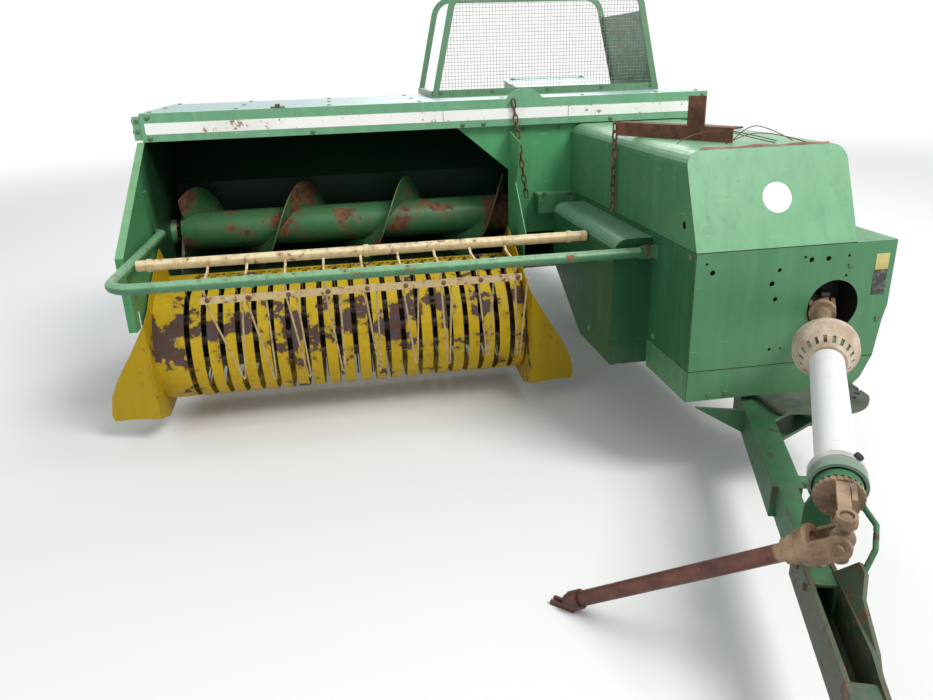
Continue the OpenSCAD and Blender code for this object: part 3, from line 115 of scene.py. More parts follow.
class Finish:
    """A material whose shader is built from nodes."""

    def __init__(self, name):
        self.material = bpy.data.materials.new(name)
        self.material.use_nodes = True
        self.tree = self.material.node_tree
        self.shader = self.tree.nodes["Principled BSDF"]
        self.output = self.tree.nodes["Material Output"]

    def node(self, kind, settings, sockets, result=0):
        """Adds a node, sets it, feeds its sockets and gives back one of its outputs."""
        made = self.tree.nodes.new("ShaderNode" + kind)
        for key, value in settings.items():
            if key == "stops":
                self.set_stops(made.color_ramp, value)
            else:
                setattr(made, key, value)
        for key, value in sockets.items():
            self.feed(self.find(made.inputs, key), value)
        return Signal(self, self.find(made.outputs, result))

    def set_stops(self, ramp, stops):
        while len(ramp.elements) < len(stops):
            ramp.elements.new(0.5)
        for element, (position, shade) in zip(ramp.elements, stops):
            element.position = position
            element.color = (*shade, 1.0)

    def find(self, sockets, key):
        if isinstance(key, int):
            return sockets[key]
        for socket in sockets:
            if key == socket.identifier or (key == socket.name and socket.enabled):
                return socket
        raise KeyError(key)

    def feed(self, socket, value):
        if isinstance(value, Signal):
            self.tree.links.new(value.socket, socket)
        elif isinstance(value, tuple) and socket.type == "RGBA":
            socket.default_value = (*value[:3], 1.0)
        else:
            socket.default_value = value

    def set(self, **values):
        for name, value in values.items():
            self.feed(self.shader.inputs[name.replace("_", " ")], value)
        return self

    def blend(self, mask, under, over):
        """One tone or colour laid over another where the mask is 1."""
        mix = {"Factor_Float": mask, "A_Color": under, "B_Color": over}
        return self.node("Mix", {"data_type": "RGBA"}, mix, "Result_Color")

    def place(self, stretch=(1.0, 1.0, 1.0), turn=(0.0, 0.0, 0.0), shift=(0.0, 0.0, 0.0)):
        """A place on the piece in metres, stretched, turned and shifted for a texture."""
        own = self.node("TexCoord", {}, {}, "Object")
        around = {"Vector": own, "Scale": stretch, "Rotation": turn, "Location": shift}
        return self.node("Mapping", {}, around)

    def cloud(self, where, scale, detail=4.0, roughness=0.55):
        """Noise from 0 to 1, with its middle near 0.5."""
        sockets = {"Vector": where, "Scale": scale, "Detail": detail, "Roughness": roughness}
        return self.node("TexNoise", {}, sockets)

    def facing(self, axis):
        """How far the surface looks along X, Y or Z, from -1 to 1."""
        return self.part_of(self.node("TexCoord", {}, {}, "Normal"), axis)

    def away(self, place, middle):
        """The distance in metres of a place on the piece from a fixed middle."""
        return self.node("VectorMath", {"operation": "DISTANCE"}, {0: place, 1: tuple(middle)}, "Value")

    def part_of(self, vector, axis):
        return self.node("SeparateXYZ", {}, {"Vector": vector}, axis)

    def bump(self, height, strength, distance):
        made = self.node("Bump", {}, {"Height": height, "Strength": strength, "Distance": distance})
        self.feed(self.shader.inputs["Normal"], made)


def drop_selection():
    bpy.ops.object.select_all(action="DESELECT")


WHITE = (1.0, 1.0, 1.0)
FLOOR_HALF = 60.0
FLOOR_TONE = (0.74, 0.74, 0.735)
FADE_START, FADE_END = 5.0, 13.0
drop_selection()
bpy.ops.mesh.primitive_plane_add(size=2 * FLOOR_HALF)
floor = bpy.context.object
floor.name = "studio_floor"
bpy.ops.object.transform_apply(location=True, rotation=True, scale=True)
floor_finish = Finish("studio_floor")
from_middle = floor_finish.node(
    "VectorMath", {"operation": "LENGTH"}, {0: floor_finish.place()}, "Value")
rays = floor_finish.node("LightPath", {}, {}, "Is Camera Ray")
seen = rays + floor_finish.node("LightPath", {}, {}, "Is Glossy Ray")
white = floor_finish.node("Emission", {}, {"Color": WHITE, "Strength": 1.0})
floor_finish.set(Base_Color=FLOOR_TONE, Roughness=0.9)
bare_floor = Signal(floor_finish, floor_finish.shader.outputs[0])
run_out = floor_finish.node(
    "MixShader", {}, {"Fac": from_middle.rise(FADE_START, FADE_END) * seen.clip(), 1: bare_floor, 2: white})
floor_finish.feed(floor_finish.output.inputs["Surface"], run_out)
floor.data.materials.append(floor_finish.material)

# The sky lights the machine softly, and shows as plain white to the camera.
SKY_TONE, SKY_STRENGTH = (0.93, 0.97, 1.0), 0.62
sky = bpy.data.worlds.new("sky")
bpy.context.scene.world = sky
sky.use_nodes = True
sky_nodes, sky_links = sky.node_tree.nodes, sky.node_tree.links
ambient, backdrop = sky_nodes["Background"], sky_nodes.new("ShaderNodeBackground")
for background, tone, strength in ((ambient, SKY_TONE, SKY_STRENGTH), (backdrop, WHITE, 1.0)):
    background.inputs["Color"].default_value = (*tone, 1.0)
    background.inputs["Strength"].default_value = strength
sky_rays = sky_nodes.new("ShaderNodeLightPath")
shown = sky_rays.outputs["Is Camera Ray"]
for ray in ("Is Glossy Ray", "Is Transmission Ray"):
    either = sky_nodes.new("ShaderNodeMath")
    either.operation, either.use_clamp = "ADD", True
    sky_links.new(shown, either.inputs[0])
    sky_links.new(sky_rays.outputs[ray], either.inputs[1])
    shown = either.outputs[0]
chooser = sky_nodes.new("ShaderNodeMixShader")
for source, socket in zip((shown, ambient.outputs[0], backdrop.outputs[0]), chooser.inputs):
    sky_links.new(source, socket)
sky_links.new(chooser.outputs[0], sky_nodes["World Output"].inputs["Surface"])


def lamp(name, place, target, size, watts, tone):
    """A round soft lamp, in metres and watts."""
    light = bpy.data.lights.new(name, "AREA")
    light.shape, light.size, light.energy, light.color = "DISK", size, watts, tone
    made = bpy.data.objects.new(name, light)
    bpy.context.scene.collection.objects.link(made)
    made.location = place
    made.rotation_euler = (Vector(target) - Vector(place)).to_track_quat("-Z", "Y").to_euler()


lamp("key", (4.2, -5.2, 7.5), (0.0, -0.5, 0.6), 4.0, 760.0, (1.0, 0.985, 0.96))
lamp("fill", (-5.5, -4.5, 4.0), (-0.5, 0.0, 0.6), 5.0, 80.0, (0.95, 0.98, 1.0))
lamp("rear_fill", (2.0, 7.0, 5.0), (0.0, 0.5, 0.8), 5.0, 300.0, WHITE)


# ------------------------ front shield and hood
# Folded sheet steel, sprayed green: a flat panel with its skirt, two side panels and a hood
# with a leaning front. Sun has bleached what faces up, and what faces up is also painted lighter
# as a painted highlight of the sky; the side panels and drive cover are painted darker as painted
# shade. Stones have chipped it to rust.
def weathered_paint(name, coat, faded_and_lit, bare, rust, chips=0.5, patches=0.0, patch_size=0.09, runs=0.2,
                    mud=0.3, bleach_and_sky_light=0.8, edge=0.004, sheen=0.35, rub=None, grime_and_shade=None, deep=None):
    """Sprayed coat over steel: its fading with a painted highlight where it faces up, rain runs, mud, worn
    patches and rusty chips.

    rub is a height, its reach and how much more is worn there. The option for grime and shade is a
    dark tone of painted shade with a little grime in it, an axis and where along it the surface's
    normal goes from clean to full; deep is where along Y this painted shade sets in.
    """
    paint = Finish(name)
    place = paint.place()
    upward = paint.facing(2)
    height = paint.part_of(place, 2)
    broad = paint.cloud(place, 2.1, 3.0)
    fine = paint.cloud(place, 38.0, 8.0, 0.66)
    specks = paint.cloud(place, 210.0, 2.0)
    rain = paint.cloud(paint.place((24.0, 24.0, 1.5)), 1.0, 5.0, 0.6)
    blotch = paint.cloud(paint.place(shift=(3.0, 1.0, 2.0)), 9.0, 5.0, 0.6)

    # What faces up is painted lighter: partly sun fading, partly a painted highlight of the sky light.
    sun_and_sky_light = upward.rise(0.12, 0.5) * bleach_and_sky_light + (broad - 0.5) * 0.6 + (blotch - 0.5) * 0.25
    shade = paint.blend(sun_and_sky_light.clip(), coat, faded_and_lit)
    washed = tuple(0.55 * part for part in coat)
    shade = paint.blend(rain.rise(0.46, 0.72) * runs, shade, washed)
    pale = tuple(min(1.0, 1.3 * part + 0.02) for part in faded_and_lit)
    shade = paint.blend(rain.rise(0.5, 0.28) * runs * 0.35, shade, pale)

    rounded = paint.node("Bevel", {"samples": 4}, {"Radius": edge}, 0)
    flat = paint.node("VectorMath", {"operation": "DOT_PRODUCT"},
                      {0: rounded, 1: paint.node("NewGeometry", {}, {}, "Normal")}, "Value")
    corner = (1.0 - flat).rise(0.02, 0.25)

    level = fine + corner * 0.2 + (broad - 0.5) * 0.22 + (blotch - 0.5) * 0.2
    limit = 0.83 - 0.22 * chips
    halo = level.rise(limit - 0.13, limit)
    chip = level.rise(limit, limit + 0.035)
    stain = tuple(0.5 * a + 0.5 * b for a, b in zip(coat, rust))
    shade = paint.blend(halo * 0.5, shade, stain)
    rusty = paint.blend(specks.rise(0.35, 0.65), bare, rust)
    shade = paint.blend(chip, shade, rusty)
    worn = chip
    if patches:
        spread = paint.cloud(paint.place(shift=(5.0, 2.0, 7.0)), 1.0 / patch_size, 4.0, 0.6)
        if rub:
            middle, reach, amount = rub
            near = 1.0 - (height - middle).math("ABSOLUTE") * (1.0 / reach)
            spread = spread + near.clip() * amount
        bald = spread.rise(0.66 - 0.2 * patches, 0.69 - 0.2 * patches)
        rim = spread.rise(0.6 - 0.2 * patches, 0.66 - 0.2 * patches)
        shade = paint.blend(rim * 0.45, shade, stain)
        shade = paint.blend(bald, shade, paint.blend(fine.rise(0.4, 0.6), bare, rust))
        worn = (chip + bald).clip()

    scratch = paint.cloud(paint.place((9.0, 9.0, 160.0), (0.5, 0.35, 0.9)), 1.0, 3.0, 0.5)
    shade = paint.blend(scratch.rise(0.69, 0.74) * 0.35, shade, pale)
    low = height.rise(0.62, 0.1) * mud
    dirt = (low + upward.rise(0.5, 0.95) * mud * 0.25) * fine.rise(0.3, 0.62)
    shade = paint.blend(dirt.clip(), shade, DRY_MUD)

    # Painted shade: inner faces, which the light hardly reaches, go towards a near-black tone with a little
    # grime and scale in it.
    if grime_and_shade:
        tone, axis, clean_at, full_at = grime_and_shade
        inner_shade = paint.facing(axis).rise(clean_at, full_at) * upward.rise(-0.9, -0.5)
        if deep:
            inner_shade = inner_shade * paint.part_of(place, 1).rise(*deep)
        scale = tuple(0.2 * part for part in rust)
        shade = paint.blend(inner_shade * 0.97, shade, paint.blend(fine.rise(0.58, 0.7), tone, scale))

    rough = PAINT_GLOSS + (fine - 0.5) * 0.3 + worn * 0.32 + dirt * 0.25 + (1.0 - sun_and_sky_light.clip()) * -0.04
    paint.set(Base_Color=shade, Roughness=rough.clip(), Specular_IOR_Level=sheen)
    relief = worn * -0.45 + specks * 0.06 + fine * 0.08 + broad * DENTS
    paint.bump(relief, 0.35, 0.004)
    return paint.material


def coat_nodes(material, *names):
    """Gives nodes of the frame their look; their meshes stay as they are."""
    for name in names:
        cad[name].data.materials.clear()
        cad[name].data.materials.append(material)


PAINT_GLOSS, DENTS = 0.42, 1.4
DRY_MUD = (0.15, 0.125, 0.085)
RUST = (0.17, 0.07, 0.035)
BARE_STEEL = (0.24, 0.21, 0.18)
GREEN = (0.058, 0.19, 0.085)
GREEN_BLEACHED_AND_LIT = (0.185, 0.40, 0.225)
green_sheet = weathered_paint("green_sheet", GREEN, GREEN_BLEACHED_AND_LIT, BARE_STEEL, RUST, chips=0.42)
coat_nodes(green_sheet, "front_panel", "lower_skirt", "upper_hood", "step_box", "left_shield")
# The side panels and drive cover are the same green sheet; these darker copies of its paint are painted shade
# on the sides away from the light.
side_green_shaded = weathered_paint(
    "side_green_shaded", (0.022, 0.105, 0.042), (0.14, 0.32, 0.17), BARE_STEEL, RUST,
    chips=0.5, runs=0.25, mud=0.12, sheen=0.2)
coat_nodes(side_green_shaded, "side_panels")
cover_green_shaded = weathered_paint(
    "cover_green_shaded", (0.014, 0.075, 0.03), (0.13, 0.27, 0.17), BARE_STEEL, RUST,
    chips=0.5, mud=0.2, bleach_and_sky_light=0.95, sheen=0.2)
coat_nodes(cover_green_shaded, "drive_cover")
collar_black = Finish("collar_black").set(Base_Color=(0.012, 0.013, 0.012), Roughness=0.6).material
coat_nodes(collar_black, "drive_collar")


def pick(test):
    """Selects in edit mode the faces whose middle and normal pass the test."""
    mesh = bmesh.from_edit_mesh(bpy.context.object.data)
    bpy.ops.mesh.select_all(action="DESELECT")
    for face in mesh.faces:
        face.select_set(test(face.calc_center_median(), face.normal))
    bmesh.update_edit_mesh(bpy.context.object.data)


def facing(place, direction):
    """Turns +Z to the direction and moves to the place."""
    return Matrix.Translation(place) @ Vector(direction).to_track_quat("Z", "Y").to_matrix().to_4x4()


def keep(piece, name, material, body):
    """Fixes a finished piece in its mesh, gives it its material and hangs it on its body."""
    piece.name = piece.data.name = name
    drop_selection()
    piece.select_set(True)
    bpy.context.view_layer.objects.active = piece
    bpy.ops.object.transform_apply(location=True, rotation=True, scale=True)
    piece.data.materials.clear()
    piece.data.materials.append(material)
    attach(piece, body)
    return piece


def joined(*pieces):
    """Several meshes made one piece."""
    drop_selection()
    for piece in pieces:
        piece.select_set(True)
    bpy.context.view_layer.objects.active = pieces[0]
    bpy.ops.object.join()
    return pieces[0]


def hex_bolt(across, head, washer):
    """A hexagon head with its chamfer on a round washer, seated on the plane z = 0."""
    drop_selection()
    bpy.ops.mesh.primitive_cylinder_add(
        vertices=20, radius=washer, depth=WASHER_T, location=(0.0, 0.0, WASHER_T / 2))
    ring = bpy.context.object
    drop_selection()
    bpy.ops.mesh.primitive_cylinder_add(
        vertices=6, radius=across / math.sqrt(3.0), depth=head, location=(0.0, 0.0, WASHER_T + head / 2))
    bpy.ops.object.mode_set(mode="EDIT")
    pick(lambda middle, normal: normal.z > 0.9)
    bpy.ops.mesh.inset(thickness=across * 0.08)
    bpy.ops.transform.translate(value=(0.0, 0.0, head * 0.18))
    bpy.ops.object.mode_set(mode="OBJECT")
    return joined(bpy.context.object, ring)


def round_bolt(radius, head):
    """A carriage bolt's low round head, seated on the plane z = 0."""
    drop_selection()
    bpy.ops.mesh.primitive_uv_sphere_add(segments=16, ring_count=8, radius=radius)
    bpy.ops.object.mode_set(mode="EDIT")
    bpy.ops.mesh.select_all(action="SELECT")
    bpy.ops.mesh.bisect(plane_co=(0.0, 0.0, 0.0), plane_no=UP, clear_inner=True, use_fill=True)
    bpy.ops.mesh.select_all(action="SELECT")
    bpy.ops.transform.resize(value=(1.0, 1.0, head / radius), center_override=(0.0, 0.0, 0.0))
    bpy.ops.object.mode_set(mode="OBJECT")
    return bpy.context.object


def bolts_at(master, name, places, material, body):
    """Copies of a bolt, each with its own mesh, driven in along a direction, as one piece."""
    copies = []
    for place, direction in places:
        copy = master.copy()
        copy.data = master.data.copy()
        bpy.context.scene.collection.objects.link(copy)
        copy.data.transform(facing(place, direction))
        copies.append(copy)
    return keep(joined(*copies), name, material, body)


def slab(low, high, bevel):
    """A block between two corners with rounded edges."""
    drop_selection()
    bpy.ops.mesh.primitive_cube_add(size=1.0, location=(low + high) / 2)
    bpy.context.object.scale = high - low
    bpy.ops.object.transform_apply(location=True, rotation=True, scale=True)
    if bevel:
        bpy.ops.object.mode_set(mode="EDIT")
        bpy.ops.mesh.select_all(action="SELECT")
        bpy.ops.mesh.bevel(offset=bevel, segments=2)
        bpy.ops.object.mode_set(mode="OBJECT")
    return bpy.context.object


FRONT, UP = (0.0, -1.0, 0.0), (0.0, 0.0, 1.0)
PICKUP_SIDE, CASE_SIDE = (-1.0, 0.0, 0.0), (1.0, 0.0, 0.0)
WASHER_T = 0.002
SIDE_X, COVER_X = 0, -144
hex_head = hex_bolt(0.017, 0.0065, 0.0125)
round_head = round_bolt(0.0115, 0.0055)
bolt_paint = weathered_paint(
    "bolt_paint", (0.06, 0.16, 0.08), (0.16, 0.28, 0.17), (0.12, 0.08, 0.05), RUST, chips=1.2, mud=0.1)

bolts_at(hex_head, "panel_bolts",
         [(spot(x, 0, z), FRONT) for x, z in (
             (543, 755), (420, 446), (81, 338), (142, 338), (672, 560))],
         bolt_paint, "main")
bolts_at(round_head, "side_bolts",
         [(spot(SIDE_X, y, z), PICKUP_SIDE) for y, z in ((300, 455), (40, 815), (180, 408))]
         + [(spot(COVER_X, y, z), PICKUP_SIDE) for y, z in ((375, 740), (600, 400))],
         bolt_paint, "main")

# Where two sheets meet, the joint is a dark line with a little rust in it.
seam_dark = Finish("seam_dark")
seam_grain = seam_dark.cloud(seam_dark.place(), 40.0, 5.0)
seam_dark.set(
    Base_Color=seam_dark.blend(seam_grain.rise(0.5, 0.7), (0.006, 0.016, 0.008), (0.05, 0.022, 0.012)),
    Roughness=seam_grain.rise(0.2, 0.8, 0.7, 0.95))
SEAM, PROUD = 1.3, 0.5
SKIRT_TOP, HOOD_FOOT = 431, 835
SEAMS = (
    # name, low corner, high corner
    ("skirt_front", (1, -PROUD, SKIRT_TOP - SEAM), (676, 1, SKIRT_TOP + SEAM)),
    ("skirt_side", (-PROUD, 1, SKIRT_TOP - SEAM), (1, 347, SKIRT_TOP + SEAM)),
    ("hood_front", (1, -PROUD, HOOD_FOOT - SEAM), (556, 1, HOOD_FOOT + SEAM)),
    ("hood_side", (-PROUD, 2, HOOD_FOOT - SEAM), (1, 1130, HOOD_FOOT + SEAM)),
    ("corner", (-PROUD, -PROUD, 324), (0.8, 0.8, HOOD_FOOT - 1)),
    ("cover_edge", (-PROUD - 1, 346, 440), (1, 348.4, 812)),
    ("cover_corner", (COVER_X - PROUD, 347.5, 342), (COVER_X + 1, 349, 764)),
)
for name, low, high in SEAMS:
    keep(slab(spot(*low), spot(*high), 0.0), f"seam_{name}", seam_dark.material, "main")

# The data plate is a thin blank sheet: black below, with a yellow field on top.
PLATE_LOW, PLATE_HIGH = spot(633, -1.5, 651), spot(681, 0.3, 791)
PLATE_BLACK, PLATE_YELLOW = (0.02, 0.022, 0.02), (0.42, 0.33, 0.07)
plate_finish = Finish("data_plate")
plate_height = plate_finish.part_of(plate_finish.place(), 2)
plate_dust = plate_finish.cloud(plate_finish.place(), 60.0, 6.0)
plate_fields = plate_finish.node(
    "ValToRGB",
    {"stops": [(0.0, PLATE_BLACK), (0.66, PLATE_BLACK), (0.68, PLATE_YELLOW), (1.0, (0.5, 0.42, 0.14))]},
    {"Fac": plate_height.rise(PLATE_LOW.z, PLATE_HIGH.z)})
plate_finish.set(
    Base_Color=plate_finish.blend(plate_dust.rise(0.45, 0.8) * 0.5, plate_fields, (0.33, 0.34, 0.29)),
    Roughness=plate_dust.rise(0.2, 0.8, 0.3, 0.6))
keep(slab(PLATE_LOW, PLATE_HIGH, 0.0004), "data_plate", plate_finish.material, "main")


def bent_wire(name, points, radius, material, body):
    """A round wire through points, drawn as a curve and turned into a mesh."""
    drop_selection()
    bpy.ops.curve.primitive_nurbs_path_add()
    path = bpy.context.object
    path.data.splines.clear()
    line = path.data.splines.new("NURBS")
    line.points.add(len(points) - 1)
    for node, place in zip(line.points, points):
        node.co = (*place, 1.0)
    line.use_endpoint_u, line.order_u, line.resolution_u = True, 3, 5
    path.data.bevel_depth, path.data.bevel_resolution = radius, 2
    path.data.use_fill_caps = True
    bpy.ops.object.convert(target="MESH")
    wire = bpy.context.object
    bpy.ops.object.shade_smooth()
    return keep(wire, name, material, body)


# The hood's top sheet has torn along its front edge: a thin wavy lip of primer and rust stands
# up there, and a few stiff tie wires lie where the bar is tied down.
def rusty_metal(name, dark, light, pale=(0.3, 0.2, 0.13), flakes=0.35, gloss=0.82, shine=0.15, cast=None):
    """Old iron with a brown bloom, lighter flakes and pits.

    cast is a middle, the reach round it that is a rough casting, and that casting's two tones.
    """
    iron = Finish(name)
    place = iron.place()
    bloom = iron.cloud(place, 14.0, 6.0, 0.62)
    grain = iron.cloud(place, 120.0, 6.0, 0.7)
    broad = iron.cloud(place, 3.0, 3.0)
    mottle = (bloom.rise(0.3, 0.7) + (broad - 0.5) * 0.4).clip()
    tone = iron.blend(mottle, dark, light)
    if cast:
        middle, reach, cast_dark, cast_light = cast
        near = iron.away(place, middle).rise(reach, reach - 0.012)
        tone = iron.blend(near, tone, iron.blend(mottle, cast_dark, cast_light))
    tone = iron.blend(grain.rise(0.56, 0.74) * flakes, tone, pale)
    tone = iron.blend(grain.rise(0.42, 0.28) * 0.55, tone, tuple(0.35 * part for part in dark))
    iron.set(Base_Color=tone, Roughness=(gloss + (grain - 0.5) * 0.25).clip(), Metallic=shine)
    iron.bump(grain * 0.6 + bloom * 0.5, 0.4, 0.003)
    return iron.material


bar_rust = rusty_metal("bar_rust", (0.075, 0.03, 0.018), (0.2, 0.085, 0.042))
lip_finish = rusty_metal("torn_lip", (0.22, 0.11, 0.08), (0.42, 0.25, 0.19), (0.5, 0.42, 0.33))
coat_nodes(bar_rust, "hood_bar", "chains")

LIP_X0, LIP_X1, LIP_Y, LIP_Z = 52, 498, 134, 1137
LIP_THICK, LIP_HEIGHT, LIP_MIDDLE, LIP_STEPS = 0.0016, 0.0075, 4, 34
drop_selection()
bpy.ops.mesh.primitive_cube_add(
    size=1.0, location=spot((LIP_X0 + LIP_X1) / 2, LIP_Y, LIP_Z + LIP_MIDDLE))
lip = bpy.context.object
lip.scale = (0.001 * (LIP_X1 - LIP_X0), LIP_THICK, LIP_HEIGHT)
bpy.ops.object.transform_apply(location=True, rotation=True, scale=True)
bpy.ops.object.mode_set(mode="EDIT")
for step in range(1, LIP_STEPS):
    cut = spot(LIP_X0 + (LIP_X1 - LIP_X0) * step / LIP_STEPS, 0, 0)
    bpy.ops.mesh.select_all(action="SELECT")
    bpy.ops.mesh.bisect(plane_co=cut, plane_no=(1.0, 0.0, 0.0))
bpy.ops.object.mode_set(mode="OBJECT")
SWAY = 0.0011
wave = random.Random(11)
phases = [(wave.uniform(18, 70), wave.uniform(0, 6.3), wave.uniform(0.4, 1.6)) for _ in range(4)]
for corner in lip.data.vertices:
    sway = sum(size * math.sin(rate * corner.co.x + start) for rate, start, size in phases) * SWAY
    corner.co.y += sway
    if corner.co.z > spot(0, 0, LIP_Z + LIP_MIDDLE).z:
        corner.co.z += 0.6 * sway
keep(lip, "torn_lip", lip_finish, "main")
# A near-black slab just behind the torn lip is painted shade in the tear's gap.
gap_shade_black = Finish("gap_shade_black").set(Base_Color=(0.006, 0.006, 0.006), Roughness=0.9).material
keep(slab(spot(LIP_X0, LIP_Y + 3, LIP_Z - 1), spot(LIP_X1 - 60, LIP_Y + 12, LIP_Z + 0.6), 0.0),
     "torn_gap_shade", gap_shade_black, "main")

WIRE_R, ON_HOOD = 0.0016, 1139
WIRES = (
    # places over the hood, from end to end; both ends lie on the sheet
    ((60, 330, ON_HOOD), (120, 350, 1168), (215, 300, 1178), (300, 265, 1152), (352, 210, ON_HOOD)),
    ((150, 420, ON_HOOD), (228, 378, 1176), (318, 330, 1160), (388, 262, ON_HOOD)),
    ((196, 250, ON_HOOD), (250, 226, 1170), (330, 232, 1172), (420, 208, 1150), (446, 176, ON_HOOD)),
    ((282, 360, ON_HOOD), (340, 372, 1190), (402, 322, 1172), (440, 250, ON_HOOD)),
)
for number, wire in enumerate(WIRES):
    bent_wire(f"tie_wire_{number}", [spot(*place) for place in wire],
              WIRE_R, bar_rust, "main")

# ------------------------ top beam, deck and stripe
# A pressed channel closes the feeder's roof in front. The white stripe is a painted strip in
# three lengths with seams, and a bolted bracket ends the beam on the pickup side.
deck_green = weathered_paint(
    "deck_green", (0.2, 0.35, 0.28), (0.36, 0.5, 0.5), BARE_STEEL, RUST, chips=0.45, bleach_and_sky_light=0.75, mud=0.5)
coat_nodes(deck_green, "deck")
beam_green = weathered_paint(
    "beam_green", (0.13, 0.32, 0.18), (0.5, 0.66, 0.56), BARE_STEEL, RUST, chips=0.5, bleach_and_sky_light=0.95)
coat_nodes(beam_green, "front_beam")
stripe_white = Finish("stripe_white")
stripe_place = stripe_white.place()
stripe_speck = stripe_white.cloud(stripe_place, 46.0, 8.0, 0.7)
stripe_broad = stripe_white.cloud(stripe_place, 3.2, 4.0)
stripe_level = stripe_speck + (stripe_broad - 0.5) * 0.35
stripe_tone = stripe_white.blend(
    stripe_broad.rise(0.4, 0.75) * 0.5, (0.8, 0.8, 0.77), (0.62, 0.62, 0.56))
stripe_tone = stripe_white.blend(stripe_level.rise(0.6, 0.66), stripe_tone, (0.3, 0.17, 0.12))
stripe_white.set(Base_Color=stripe_tone, Roughness=stripe_level.rise(0.4, 0.7, 0.38, 0.7))
coat_nodes(stripe_white.material, "beam_stripe")

BEAM_Y, STRIPE_LOW, STRIPE_HIGH, STRIPE_PROUD = 1330, 1171, 1218, 1.6
seam_shadow = Finish("seam_shadow").set(Base_Color=(0.16, 0.15, 0.13), Roughness=0.7).material
for name, x in (("left", -603), ("right", -24)):
    low, high = (x - 1.2, BEAM_Y - STRIPE_PROUD, STRIPE_LOW), (x + 1.2, BEAM_Y + 0.5, STRIPE_HIGH)
    keep(slab(spot(*low), spot(*high), 0.0), f"stripe_seam_{name}", seam_shadow, "main")
bolts_at(round_head, "beam_bolts",
         [(spot(x, BEAM_Y, z), FRONT) for x, z in (
             (-1862, 1156), (-1180, 1155), (-516, 1155), (-420, 1155), (180, 1155), (626, 1155),
             (-1862, 1240), (626, 1240))],
         bolt_paint, "main")
BRACKET_BOLTS_Z = (1180, 1222)
bolts_at(hex_head, "bracket_bolts",
         [(spot(-1909, BEAM_Y + 4, z), FRONT) for z in BRACKET_BOLTS_Z]
         + [(spot(-1925, BEAM_Y + 20, z), PICKUP_SIDE) for z in BRACKET_BOLTS_Z],
         bolt_paint, "main")
DECK_TOP, DECK_FRONT_ROW = 1259, 1392
bolts_at(round_head, "deck_bolts",
         [(spot(x, y, DECK_TOP), UP) for x in (-1860, -1500, -1100, -700)
          for y in (DECK_FRONT_ROW, 1740, 2120)]
         + [(spot(x, DECK_FRONT_ROW, DECK_TOP), UP) for x in (-320, 60, 420, 620)],
         bolt_paint, "main")
# The deck's service hatch latch: a small folded plate with a hook.
keep(slab(spot(-1350, 1332, DECK_TOP), spot(-1290, 1372, DECK_TOP + 7), 0.0015),
     "deck_latch", bolt_paint, "main")
keep(slab(spot(-1330, 1326, DECK_TOP + 5), spot(-1310, 1352, DECK_TOP + 17), 0.002),
     "deck_latch_hook", bar_rust, "main")

# ------------------------ feeder and auger
# Welded sheet round the auger. The inside is painted near-black as painted shade, with a little
# grime in it, and the paint on the auger's tube and flight is worn through to brown steel and
# orange rust where the hay runs.
wall_green = weathered_paint(
    "wall_green", (0.07, 0.29, 0.12), (0.22, 0.46, 0.25), BARE_STEEL, RUST, chips=0.45, mud=0.2)
coat_nodes(wall_green, "feeder_wall", "inner_side_sheet")
# The end wall's inner face is painted near-black deeper in, as painted shade.
end_green = weathered_paint(
    "end_green", (0.05, 0.2, 0.08), (0.2, 0.42, 0.22), BARE_STEEL, RUST, chips=0.5, mud=0.3, sheen=0.2,
    grime_and_shade=((0.008, 0.03, 0.013), 0, 0.2, 0.6), deep=(spot(0, 1080, 0).y, spot(0, BEAM_Y, 0).y))
coat_nodes(end_green, "end_wall")
# The feeder's inner faces are painted near-black as painted shade.
feeder_green = weathered_paint(
    "feeder_green", (0.045, 0.17, 0.07), (0.17, 0.36, 0.19), BARE_STEEL, RUST, chips=0.6, mud=0.5, sheen=0.12,
    grime_and_shade=((0.005, 0.016, 0.008), 1, 0.2, 0.02))
coat_nodes(feeder_green, "feeder_house")
auger_green = weathered_paint(
    "auger_green", (0.025, 0.12, 0.045), (0.07, 0.2, 0.085), (0.06, 0.038, 0.03), (0.19, 0.07, 0.022),
    chips=0.8, patches=0.5, patch_size=0.2, bleach_and_sky_light=0.35, edge=0.006)
coat_nodes(auger_green, "auger_tube", "auger_flight")

# The auger's bearing sits on a round plate with a pale rim and four bolts.
BEARING = spot(-1866, 1600, 700)
BEARING_R, BEARING_T, BEARING_STEP, BOLTS_R = 0.056, 0.012, 0.006, 0.046
drop_selection()
bpy.ops.mesh.primitive_cylinder_add(
    vertices=40, radius=BEARING_R, depth=BEARING_T, location=(0.0, 0.0, BEARING_T / 2))
bpy.ops.object.mode_set(mode="EDIT")
pick(lambda middle, normal: normal.z > 0.9)
bpy.ops.mesh.inset(thickness=0.010)
bpy.ops.transform.translate(value=(0.0, 0.0, -BEARING_STEP))
bpy.ops.mesh.inset(thickness=0.016)
bpy.ops.transform.translate(value=(0.0, 0.0, BEARING_STEP))
bpy.ops.object.mode_set(mode="OBJECT")
bearing_plate = bpy.context.object
bearing_plate.data.transform(facing(BEARING, CASE_SIDE))
bearing_rim = weathered_paint(
    "bearing_rim", (0.16, 0.2, 0.13), (0.3, 0.33, 0.22), (0.1, 0.07, 0.05), RUST, chips=0.8)
keep(bearing_plate, "auger_bearing", bearing_rim, "main")
bearing_bolts = [
    (BEARING + Vector((BEARING_T, BOLTS_R * math.cos(turn), BOLTS_R * math.sin(turn))), CASE_SIDE)
    for turn in (0.8, 2.37, 3.94, 5.51)]
bolts_at(hex_head, "auger_bearing_bolts", bearing_bolts, bar_rust, "main")
WALL_Y, END_WALL_X, BRACKET_Y = 1364, -1893, 1274
